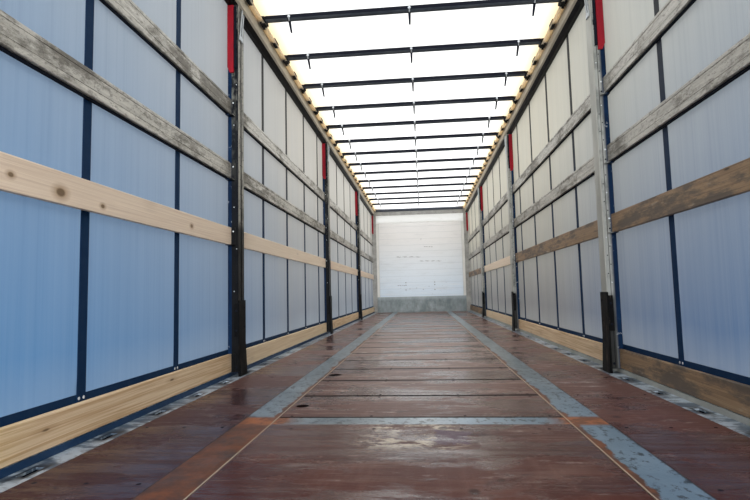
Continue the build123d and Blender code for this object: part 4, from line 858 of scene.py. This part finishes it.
def curtain(side, s):
    """One side curtain: a tight sheet that bellies a little between its straps."""
    low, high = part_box(f"curtain_{side}")
    steps_y = 360
    steps_z = 24
    bm = bmesh.new()
    grid = []
    for i in range(steps_y + 1):
        y = low[1] + (high[1] - low[1]) * i / steps_y
        belly = 0.0022 * hang(y, strap_ys, STRAP_PITCH)
        column = []
        for j in range(steps_z + 1):
            t = j / steps_z
            z = low[2] + (high[2] - low[2]) * t
            ripple = 0.0008 * math.sin(y * 23.0 + 3.0 * math.sin(z * 1.7)) * math.sin(math.pi * t)
            x = CURTAIN_X + belly * math.sin(math.pi * t) + ripple
            column.append(bm.verts.new((s * x, y, z)))
        grid.append(column)
    quads(bm, grid)
    made = piece(f"curtain_cloth_{side}", bm, CURTAINS[side], smooth=True)
    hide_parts(f"curtain_{side}")


def curtain_hem(side, s):
    """A navy band behind each bottom board, with a pair of rivets at every strap."""
    low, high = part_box(f"curtain_{side}")
    bm = bmesh.new()
    bar(bm, s, (1.2658, 1.26645), (low[1], high[1]), above_floor(0.015, 0.176))
    piece(f"hem_{side}", bm, STRAP)
    bm = bmesh.new()
    for y in strap_ys:
        for rivet_y in around(y, 0.014):
            rivet(bm, (s * 1.2631, rivet_y, floor_top + 0.16), (-s, 0, 0), 0.0065, 0.0022, 10)
    piece(f"hem_rivets_{side}", bm, BRIGHT)


def roof():
    """The roof tarpaulin: sags a little between the bows, with a skirt down each side."""
    low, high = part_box("roof_tarpaulin")
    half = high[0]
    top = high[2]
    steps = 300
    edge = [(-half, low[2]), (-half, top - 0.03), (-half + 0.012, top - 0.006)]
    profile = edge + [(half * (-1 + 2 * n / 24), top - 0.0022) for n in range(1, 24)]
    profile += [(-x, z) for x, z in reversed(edge)]
    bm = bmesh.new()
    grid = []
    for i in range(steps + 1):
        y = low[1] + (high[1] - low[1]) * i / steps
        # flat over a bow's own width and a little more, so that its top never shows through
        sag = 0.01 * hang(y, bow_ys, BOW_PITCH, BOW_W / 2 + 0.007) ** 1.5
        row = [(x, y, z - sag * max(0.0, 1.0 - (abs(x) / 1.16) ** 6)) for x, z in profile]
        grid.append([bm.verts.new(place) for place in row])
    quads(bm, grid)
    made = piece("roof_cloth", bm, ROOF, smooth=True)
    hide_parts("roof_tarpaulin")


def rail_fittings(side, s):
    """The lip under the bottom boards, and the trays and bars of the lashing slots."""
    low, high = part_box(f"side_rail_{side}")
    bm = bmesh.new()
    lip_xs = (RAIL_LIP_X - 0.003, RAIL_LIP_X - 0.0003)
    bar(bm, s, lip_xs, (low[1], high[1]), above_floor(PROUD, 0.027), 0.001)
    piece(f"rail_lip_{side}", bm, NAVY if side == "left" else COVER)
    bm = bmesh.new()
    left, right = around(s * SLOT_X, 0.022)
    for y in slot_ys:
        start, end = around(y, 0.052)
        corners = ((left, start), (right, start), (right, end), (left, end))
        bottom = [bm.verts.new((*corner, floor_top - 0.05)) for corner in corners]
        top = [bm.verts.new((*corner, floor_top - 0.0085)) for corner in corners]
        quads(bm, [top, bottom], closed=True)
        bm.faces.new(bottom)
        cylinder(bm, (left + 0.001, y, floor_top - 0.02), (right - 0.001, y, floor_top - 0.02), 0.006, 8)
    # The trays are near black: painted shade in the slots.
    piece(f"lashing_trays_{side}", bm, HOLE)


def post_fittings(side, s):
    """Rivets and holes on the posts, cover plates on the right, a slanted catch and a stop on each."""
    rivets, holes, plates, catches = (bmesh.new() for kind in range(4))
    for number, y in enumerate(post_ys):
        back = y - POST_W / 2
        for n in range(34):
            z = floor_top + 0.56 + n * 0.057
            x = s * (POST_IN + (0.012 if n % 2 else 0.03))
            if any(abs(z - floor_top - bottom - SLAT_H / 2) < 0.075 for bottom, timber in SLAT_ROWS):
                continue
            # Most marks are holes drawn as near black heads: painted shade in the holes.
            target = rivets if (n * 7 + number) % 5 == 0 else holes
            rivet(target, (x, back, z), (0, -1, 0), 0.0038, 0.0014)
        for up in (0.06, 0.3, 0.43):
            z = floor_top + up
            rivet(holes, (s * (POST_IN + 0.012), back - 0.0083, z), (0, -1, 0), 0.008, 0.003, 10)
            rivet(holes, (s * (POST_IN - 0.0085), y + 0.035, z + 0.02), (-s, 0, 0), 0.006, 0.002, 8)
        for bottom, timber in SLAT_ROWS[1:]:
            middle = floor_top + bottom + SLAT_H / 2
            for end in (-1, 1):
                pocket_y = y + end * (POST_W / 2 + 0.0042)
                for target, z in zip((holes, rivets), around(middle, 0.032)):
                    rivet(target, (s * (SLAT_IN - 0.013), pocket_y, z), (0, end, 0), 0.006, 0.0015)
        if side == "right":
            height = above_floor(0.5015, POST_TOP)
            bar(plates, s, (POST_IN - 0.004, POST_IN - PROUD), (y - 0.05, y + 0.046), height, 0.0015)
            bar(plates, s, (POST_IN - 0.0055, POST_IN - PROUD), (y - 0.054, y - 0.0505), height, 0.001)
        # catch: two struts that lean forward under the cantrail, on a block
        strut_x = s * (POST_IN - 0.006)
        low = Vector((strut_x, y - 0.03, floor_top + 2.34))
        high = Vector((strut_x, y + 0.012, floor_top + 2.555))
        for shift in (Vector((0, 0, 0)), Vector((0, 0.028, -0.02))):
            cylinder(catches, low + shift, high + shift, 0.0055, 10)
        block_xs = (POST_IN - 0.0105, POST_IN - PROUD)
        bar(catches, s, block_xs, (y - 0.04, y + 0.022), above_floor(2.315, 2.35), 0.003)
        # stop beside the lever
        bar(holes, s, (1.2, 1.2165), (back - 0.0125, back - PROUD), above_floor(2.1, POST_TOP), 0.003)
        bar(holes, s, (1.196, 1.2165), (back - 0.017, back - PROUD), above_floor(2.24, 2.275), 0.003)
    piece(f"post_rivets_{side}", rivets, BRIGHT)
    piece(f"post_holes_{side}", holes, HOLE)
    piece(f"post_catches_{side}", catches, ZINC)
    if side == "right":
        piece("post_covers_right", plates, COVER)
    else:
        plates.free()


def roof_edge(side, s):
    """Cream bars with a painted glow in place of each runner, black clips between the bows, rollers at the
    bow ends.
    """
    low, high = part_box("roof_runners")
    under = low[2]
    bm = bmesh.new()
    for inner, outer, drop in ((1.15, 1.1615, 0.0), (1.164, 1.1755, 0.001), (1.18, 1.1895, 0.003)):
        bar(bm, s, (inner, outer), (low[1], high[1]), (under + drop, high[2]), 0.003)
    # The bars are cream and lit through: a painted glow of the roof cloth's edge.
    made = piece(f"runner_bars_{side}", bm, PAINTED_GLOW)
    if side == "left":
        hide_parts("roof_runners")
    bm = bmesh.new()
    for y in bow_ys[:-1]:
        middle = y + BOW_PITCH / 2
        bar(bm, s, (1.152, 1.179), around(middle, 0.045), (under - 0.007, under - PROUD), 0.002)
        bar(bm, s, (1.16, 1.178), around(middle, 0.018), (under - 0.012, under - 0.0068), 0.002)
    for y in bow_ys:
        bar(bm, s, (1.14, 1.182), around(y, 0.034), (under - 0.006, under - PROUD), 0.002)
        for roller_y in around(y, 0.045):
            start, end = ((s * x, roller_y, under - 0.006) for x in (1.162, 1.178))
            cylinder(bm, start, end, 0.0095, 12)
    piece(f"roof_clips_{side}", bm, BLACK)


for side, s in SIDES:
    curtain(side, s)
roof()
for make in (curtain_hem, rail_fittings, post_fittings, roof_edge):
    for side, s in SIDES:
        make(side, s)


def hook_studs():
    """A bright stud above each hook, on the bow's rear side."""
    bm = bmesh.new()
    for y in bow_ys:
        for x in (-0.95, 0.0, 0.95):
            rivet(bm, (x, y - 0.0252, floor_top + BOW_UP + 0.024), (0, -1, 0), 0.012, 0.005, 12)
            cylinder(bm, (x, y - 0.0085, floor_top + 2.692), (x, y - 0.03, floor_top + 2.712), 0.005, 8)
    piece("hook_studs", bm, BRIGHT)


# Long scuffs on the front wall: from and to across, from and to above the floor
SCUFFS = ((-0.64, 0.01, 1.452, 1.434), (-0.015, 0.56, 1.328, 1.312), (-0.62, -0.42, 0.7, 0.694),
          (0.1, 0.34, 1.7, 1.69))


def front_wall_details():
    """Pale edge trims, long scuffs, two columns of bolts and a few dents."""
    bm = bmesh.new()
    for side, s in SIDES:
        bar(bm, s, (1.092, 1.1535), (wall_y - 0.0035, wall_y - PROUD), above_floor(0.401, 2.345), 0.001)
    piece("wall_edge_trims", bm, TRIM)
    bm = bmesh.new()
    steps = 14
    for x0, x1, z0, z1 in SCUFFS:
        top, low = [], []
        for n in range(steps + 1):
            t = n / steps
            wave = 0.004 * math.sin(n * 2.3) + 0.003 * math.sin(n * 5.1)
            thick = 0.0035 + 0.003 * math.sin(n * 1.7 + x0)
            x = x0 + (x1 - x0) * t
            z = z0 + (z1 - z0) * t + wave + floor_top
            top.append(bm.verts.new((x, wall_y - 0.0005, z + thick)))
            low.append(bm.verts.new((x, wall_y - 0.0005, z - thick)))
        quads(bm, [top, low])
    piece("wall_scuffs", bm, MARK)
    bm = bmesh.new()
    for x in (-0.402, 0.352):
        for z in (0.765, 0.7, 0.575, 0.385):
            rivet(bm, (x, wall_y - 0.0003, floor_top + z), (0, -1, 0), 0.013, 0.005, 12)
    for x, z in ((0.029, 1.906), (-0.12, 0.62), (0.05, 0.58), (-0.3, 0.6), (0.2, 0.66), (-0.2, 0.3)):
        # the kick plate stands 4 mm before the wall
        face = wall_y - 0.0003 - (0.004 if z < 0.4 else 0.0)
        rivet(bm, (x, face, floor_top + z), (0, -1, 0), 0.009, 0.003, 8)
    piece("wall_bolts", bm, MARK)


def floor_screws():
    """A row at both ends of each cover, rows at the rear, and rows across the side boards."""
    cover_xs = (-0.55, -0.2, 0.2, 0.55)
    rear_xs = (-0.5, -0.17, 0.17, 0.5)
    side_xs = (-1.11, -0.95, -0.79, 0.79, 0.95, 1.11)
    rows = [(rear + station, rear_xs) for station in (0.06, 1.0, 2.06)]
    for n in range(COVER_COUNT):
        start = rear + WELL_REAR + n * COVER_L
        rows += [(start + 0.03, cover_xs), (start + COVER_L - 0.034, cover_xs)]
    rows += [(rear + 0.22 + n * 0.62, side_xs) for n in range(22)]
    bm = bmesh.new()
    for y, xs in rows:
        for x in xs:
            rivet(bm, (x, y, floor_top), (0, 0, 1), 0.0075, 0.0006, 8)
    # The screw heads are near black: painted shade in their recesses.
    piece("floor_screws", bm, HOLE)


hook_studs()
front_wall_details()
floor_screws()

# Wheels: outlines of (outward, radius) for a tyre with grooves, its rim, the hub and the cap
TREAD_HALF = [
    (0.149, 0.311), (0.16, 0.316), (0.174, 0.33), (0.185, 0.356), (0.19, 0.38), (0.1912, 0.383),
    (0.1912, 0.387), (0.1905, 0.39), (0.1922, 0.42), (0.1918, 0.445), (0.1925, 0.447), (0.1925, 0.45),
    (0.191, 0.452), (0.188, 0.475), (0.183, 0.496), (0.176, 0.513), (0.168, 0.523), (0.155, 0.529),
    (0.118, 0.5325), (0.1165, 0.52), (0.104, 0.52), (0.1025, 0.5335), (0.048, 0.5345), (0.0465, 0.5215),
    (0.034, 0.5215), (0.0325, 0.5348),
]
TREAD = TREAD_HALF + [(-x, radius) for x, radius in reversed(TREAD_HALF)]
RIM_RING = [
    (0.15, 0.3045), (0.146, 0.305), (0.125, 0.2866), (-0.125, 0.2866), (-0.146, 0.305),
    (-0.15, 0.3045), (-0.147, 0.297), (-0.118, 0.275), (0.1, 0.273), (0.106, 0.262),
    (0.106, 0.242), (0.12, 0.242), (0.127, 0.255), (0.138, 0.27), (0.146, 0.292),
]
HUB = [(-0.115, 0.047), (-0.115, 0.09), (-0.108, 0.094), (0.1055, 0.094), (0.1055, 0.047)]
CAP = [
    (0.1205, 0.001), (0.1205, 0.088), (0.126, 0.088), (0.128, 0.078), (0.148, 0.074), (0.15, 0.07),
    (0.17, 0.064), (0.178, 0.054), (0.1795, 0.038), (0.1795, 0.001),
]
# A washer, a hexagon and the stud's end: from and to outward, radius, sides
NUT = ((0.0, 0.004, 0.02, 16), (0.004, 0.02, 0.0165, 6), (0.02, 0.026, 0.0085, 10))
WHEEL_X = 1.02
WHEEL_UP = 0.535
AXLES = (("rear", 3.05), ("middle", 4.36), ("front", 5.67))


def lugs(n, x, radius):
    """Cross cuts in the shoulders, every fourth step round the tyre."""
    return 0.009 if n % 4 == 2 and abs(x) > 0.11 and radius > 0.508 else 0.0


def wheel_disc():
    """The wheel's disc with round hand holes, flat in the XY plane, as a mesh."""
    curve = bpy.data.curves.new("wheel_disc", "CURVE")
    curve.dimensions = "2D"
    curve.fill_mode = "BOTH"
    curve.extrude = 0.006
    curve.bevel_depth = 0.001
    outlines = [(0.0, 0.0, 0.2415, 64)]
    outlines += [(x, y, 0.027, 24) for x, y in circle(8, 0.202)]
    for x, y, radius, count in outlines:
        spline = curve.splines.new("POLY")
        spline.points.add(count - 1)
        for point, (off_x, off_y) in zip(spline.points, circle(count, radius)):
            point.co = (x + off_x, y + off_y, 0.0, 1.0)
        spline.use_cyclic_u = True
    holder = bpy.data.objects.new("wheel_disc", curve)
    mesh = bpy.data.meshes.new_from_object(holder)
    bpy.data.objects.remove(holder)
    return mesh


def wheel(axle, station, side, s, disc_mesh):
    """A tyre, a wheel with its hub, its nuts and the small bolts round its cap, on one body."""
    body = f"{axle}_{side}_wheel"
    centre = Vector((s * WHEEL_X, rear + station, WHEEL_UP))
    bm = bmesh.new()
    lathe(bm, centre, s, TREAD, 160, lugs)
    made = piece(f"tread_{axle}_{side}", bm, TYRE, body)
    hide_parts(f"tyre_{axle}_{side}")

    bm = bmesh.new()
    bm.from_mesh(disc_mesh)
    turn_out = Matrix(((0, 0, s), (s, 0, 0), (0, 1, 0))).to_4x4()
    to_wheel = Matrix.Translation(centre + Vector((s * 0.113, 0, 0)))
    bmesh.ops.transform(bm, matrix=to_wheel @ turn_out, verts=bm.verts)
    for profile, steps in ((RIM_RING, 64), (HUB, 40), (CAP, 40)):
        lathe(bm, centre, s, profile, steps)
    made = piece(f"wheel_detail_{axle}_{side}", bm, RIM, body)
    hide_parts(f"wheel_{axle}_{side}")

    bm = bmesh.new()
    for along, up in circle(10, 0.14):
        for start, end, radius, sides in NUT:
            places = (centre + Vector((s * (0.1202 + out), along, up)) for out in (start, end))
            cylinder(bm, *places, radius, sides)
    for along, up in circle(6, 0.083, 0.5):
        rivet(bm, centre + Vector((s * 0.1262, along, up)), (s, 0, 0), 0.0045, 0.004, 6)
    piece(f"wheel_nuts_{axle}_{side}", bm, ZINC, body)


disc_mesh = wheel_disc()
for axle, station in AXLES:
    for side, s in SIDES:
        wheel(axle, station, side, s, disc_mesh)

STRAP_OUT = 1.2742        # the straps' outer face, from the middle


def strap_fittings(side, s):
    """A buckle with its lever on each outer strap, the hook under the rail, and side marker lamps."""
    plates, levers, lamps = (bmesh.new() for kind in range(3))
    z = floor_top + 0.055
    pin_x = s * (STRAP_OUT + 0.009)
    for y in strap_ys:
        bar(plates, s, (STRAP_OUT, STRAP_OUT + 0.0025), around(y, 0.03), around(z, 0.05), 0.001)
        for cheek_y in around(y, 0.029):
            cheek_xs = (STRAP_OUT, STRAP_OUT + 0.014)
            bar(plates, s, cheek_xs, around(cheek_y, 0.0015), (z - 0.02, z + 0.035), 0.001)
        cylinder(plates, (pin_x, y - 0.029, z + 0.022), (pin_x, y + 0.029, z + 0.022), 0.0055, 12)
        lever_xs = (STRAP_OUT + 0.0045, STRAP_OUT + 0.0105)
        bar(levers, s, lever_xs, around(y, 0.0255), (z - 0.055, z + 0.016), 0.002)
        for inner, top in ((1.252, -0.1525), (STRAP_OUT - 0.0005, -0.128)):
            bar(plates, s, (inner, STRAP_OUT + 0.002), around(y, 0.022), above_floor(-0.156, top), 0.001)
    for first, second in zip(strap_ys[0::3], strap_ys[1::3]):
        y = (first + second) / 2
        bar(lamps, s, (1.2503, 1.264), around(y, 0.045), above_floor(-0.146, -0.118), 0.005)
    piece(f"buckle_plates_{side}", plates, BRIGHT)
    piece(f"buckle_levers_{side}", levers, ZINC)
    piece(f"side_marker_lamps_{side}", lamps, AMBER)


def rear_lamps(side, s):
    """Three round lenses in a rim on each cluster."""
    low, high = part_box("rear_lamps")
    rims = bmesh.new()
    for x, lens in ((0.87, WHITE_LENS), (1.0, AMBER), (1.13, LENS)):
        place = Vector((s * x, low[1], (low[2] + high[2]) / 2))
        rivet(rims, place, (0, -1, 0), 0.058, 0.004, 32)
        bm = bmesh.new()
        rivet(bm, place + Vector((0, -0.0035, 0)), (0, -1, 0), 0.05, 0.01, 32)
        piece(f"lamp_lens_{side}_{round(x * 100)}", bm, lens, smooth=True)
    piece(f"lamp_rims_{side}", rims, BLACK)


# Doors, as they hang when closed
HINGE_X = 1.29
HINGE_Y = rear - 0.088
LEAF_IN = 0.008
LEAF_OUT = HINGE_X - 0.022
LEAF_BACK = rear - 0.038
LEAF_FACE = rear - 0.008
ROD_Y = LEAF_BACK - 0.0256
GRIP_UP = 2.0175
DOOR_LOW = floor_top - 0.04
DOOR_HIGH = 3.96
SEAL_W = 0.022


def door_fittings(side, s):
    """Rubber seals round a leaf, keepers on the lock rods, handle grips and hinge bolts, folded back."""
    body = f"{side}_door"
    seals, fittings, grips = (bmesh.new() for kind in range(3))
    seal_y = (LEAF_FACE + 0.0003, LEAF_FACE + 0.0055)
    seal_out = LEAF_OUT - 0.002 - SEAL_W
    for x in (LEAF_IN, seal_out):
        bar(seals, s, (x, x + SEAL_W), seal_y, (DOOR_LOW + 0.005, DOOR_HIGH - 0.005), 0.002)
    for z in (DOOR_LOW + 0.005, DOOR_HIGH - 0.005 - SEAL_W):
        bar(seals, s, (LEAF_IN + SEAL_W, seal_out), seal_y, (z, z + SEAL_W), 0.002)
    for x in (0.33, 1.0):
        for z in (1.92, 2.62, 3.32):
            keeper_ys = (ROD_Y - 0.016, ROD_Y + 0.012)
            bar(fittings, s, around(x, 0.026), keeper_ys, (z - 0.012, z + 0.022), 0.004)
            for bolt_x in around(x, 0.02):
                rivet(fittings, (s * bolt_x, ROD_Y - 0.016, z + 0.005), (0, -1, 0), 0.006, 0.004, 6)
        for z in (DOOR_LOW + 0.024, DOOR_HIGH - 0.024):
            bar(fittings, s, around(x, 0.02), (ROD_Y - 0.02, ROD_Y + 0.015), around(z, 0.016), 0.005)
        bar(fittings, s, (x - 0.262, x - 0.225), (ROD_Y - 0.011, ROD_Y - 0.0055), (1.996, 2.039), 0.002)
        grip_end = (s * (x - 0.215), ROD_Y, GRIP_UP)
        cylinder(grips, (s * (x - 0.045), ROD_Y, GRIP_UP), grip_end, 0.0195, 14)
        rivet(grips, grip_end, (-s, 0, 0), 0.0195, 0.008, 14)
    for z in (1.4, 2.15, 2.9, 3.65):
        for inward in (0.285, 0.225, 0.165):
            rivet(fittings, (s * (LEAF_OUT - inward), LEAF_BACK - 0.0085, z), (0, -1, 0), 0.009, 0.006, 6)
    about = Matrix.Translation((s * HINGE_X, HINGE_Y, 0))
    swing = about @ Matrix.Rotation(math.radians(s * 270), 4, "Z") @ about.inverted()
    for bm in (seals, fittings, grips):
        bmesh.ops.transform(bm, matrix=swing, verts=bm.verts)
    piece(f"door_seals_{side}", seals, RUBBER, body)
    piece(f"door_fittings_{side}", fittings, BRIGHT, body)
    piece(f"door_grips_{side}", grips, BLACK, body)


def leg_fittings():
    """Bolts on the landing legs' brackets, and a gearbox with its crank on the right-hand leg."""
    leg_y = rear + 9.6
    bm = bmesh.new()
    for side, s in SIDES:
        for end in (-1, 1):
            for x in (0.69, 0.76, 0.815):
                for z in (0.88, 1.02):
                    rivet(bm, (s * x, leg_y + end * 0.0602, z), (0, end, 0), 0.014, 0.009, 6)
    bar(bm, 1, (0.8352, 0.9), around(leg_y, 0.055), (0.66, 0.83), 0.012, 3)
    cylinder(bm, (0.899, leg_y, 0.76), (0.925, leg_y, 0.76), 0.03, 20)
    cylinder(bm, (1.151, leg_y, 0.515), (1.151, leg_y, 0.4), 0.016, 14)
    piece("leg_fittings", bm, CHASSIS)


for make in (strap_fittings, rear_lamps, door_fittings):
    for side, s in SIDES:
        make(side, s)
leg_fittings()


def stage_paint():
    """A pale floor that is clear from below."""
    s = Shade("stage_pale")
    s.finish((0.8, 0.8, 0.8), 0.9)
    below = s.node("ShaderNodeNewGeometry").outputs["Backfacing"]
    return s.over_paint(s.node("ShaderNodeBsdfTransparent"), below)


# Stage: pale floor, soft light, and a world that shows a white background
floor_mesh = bpy.data.meshes.new("stage_floor")
bm = bmesh.new()
bmesh.ops.create_grid(bm, x_segments=1, y_segments=1, size=60.0)
bm.to_mesh(floor_mesh)
bm.free()
floor_mesh.materials.append(stage_paint())
stage_floor = placed("stage_floor", floor_mesh)

scene = bpy.context.scene
world = bpy.data.worlds.new("studio")
scene.world = world
world.use_nodes = True
world.node_tree.nodes["Background"].inputs["Color"].default_value = (0.94, 0.97, 1.0, 1)
world.node_tree.nodes["Background"].inputs["Strength"].default_value = 0.85

for name, place, aim, size, power in (
    ("key_light", (9.0, -11.0, 13.0), (0.0, 0.0, 1.5), 9.0, 1500.0),
    ("fill_light", (-12.0, 4.0, 9.0), (0.0, 0.0, 2.0), 9.0, 800.0),
    ("top_light", (0.0, 4.0, 12.0), (0.0, 3.0, 0.0), 10.0, 1900.0),
    ("rear_light", (0.5, -15.0, 3.4), (0.0, 6.0, 2.4), 3.0, 1000.0),
):
    lamp = bpy.data.lights.new(name, "AREA")
    lamp.energy = power
    lamp.size = size
    holder = placed(name, lamp)
    holder.location = place
    holder.rotation_euler = (Vector(aim) - Vector(place)).to_track_quat("-Z", "Y").to_euler()

# Camera: stands at the open rear end, low inside the portal, looking forward
CAMERA_X = 0.038
CAMERA_UP = 0.532
YAW = math.radians(5.18)
PITCH = math.radians(4.69)
ROLL = math.radians(-1.34)
FOCAL_PX = 516.3
IMAGE_W = 750
ahead = Vector((-math.sin(YAW) * math.cos(PITCH), math.cos(YAW) * math.cos(PITCH), math.sin(PITCH)))
level = Vector((math.cos(YAW), math.sin(YAW), 0.0))
upright = level.cross(ahead)
right = level * math.cos(ROLL) + upright * math.sin(ROLL)
up = upright * math.cos(ROLL) - level * math.sin(ROLL)
camera_data = bpy.data.cameras.new("camera")
camera_data.sensor_width = 36.0
camera_data.lens = FOCAL_PX / IMAGE_W * camera_data.sensor_width
camera = placed("camera", camera_data)
turn = Matrix((right, up, -ahead)).transposed().to_4x4()
camera.matrix_world = Matrix.Translation((CAMERA_X, rear, floor_top + CAMERA_UP)) @ turn
scene.camera = camera
scene.view_settings.view_transform = "Standard"
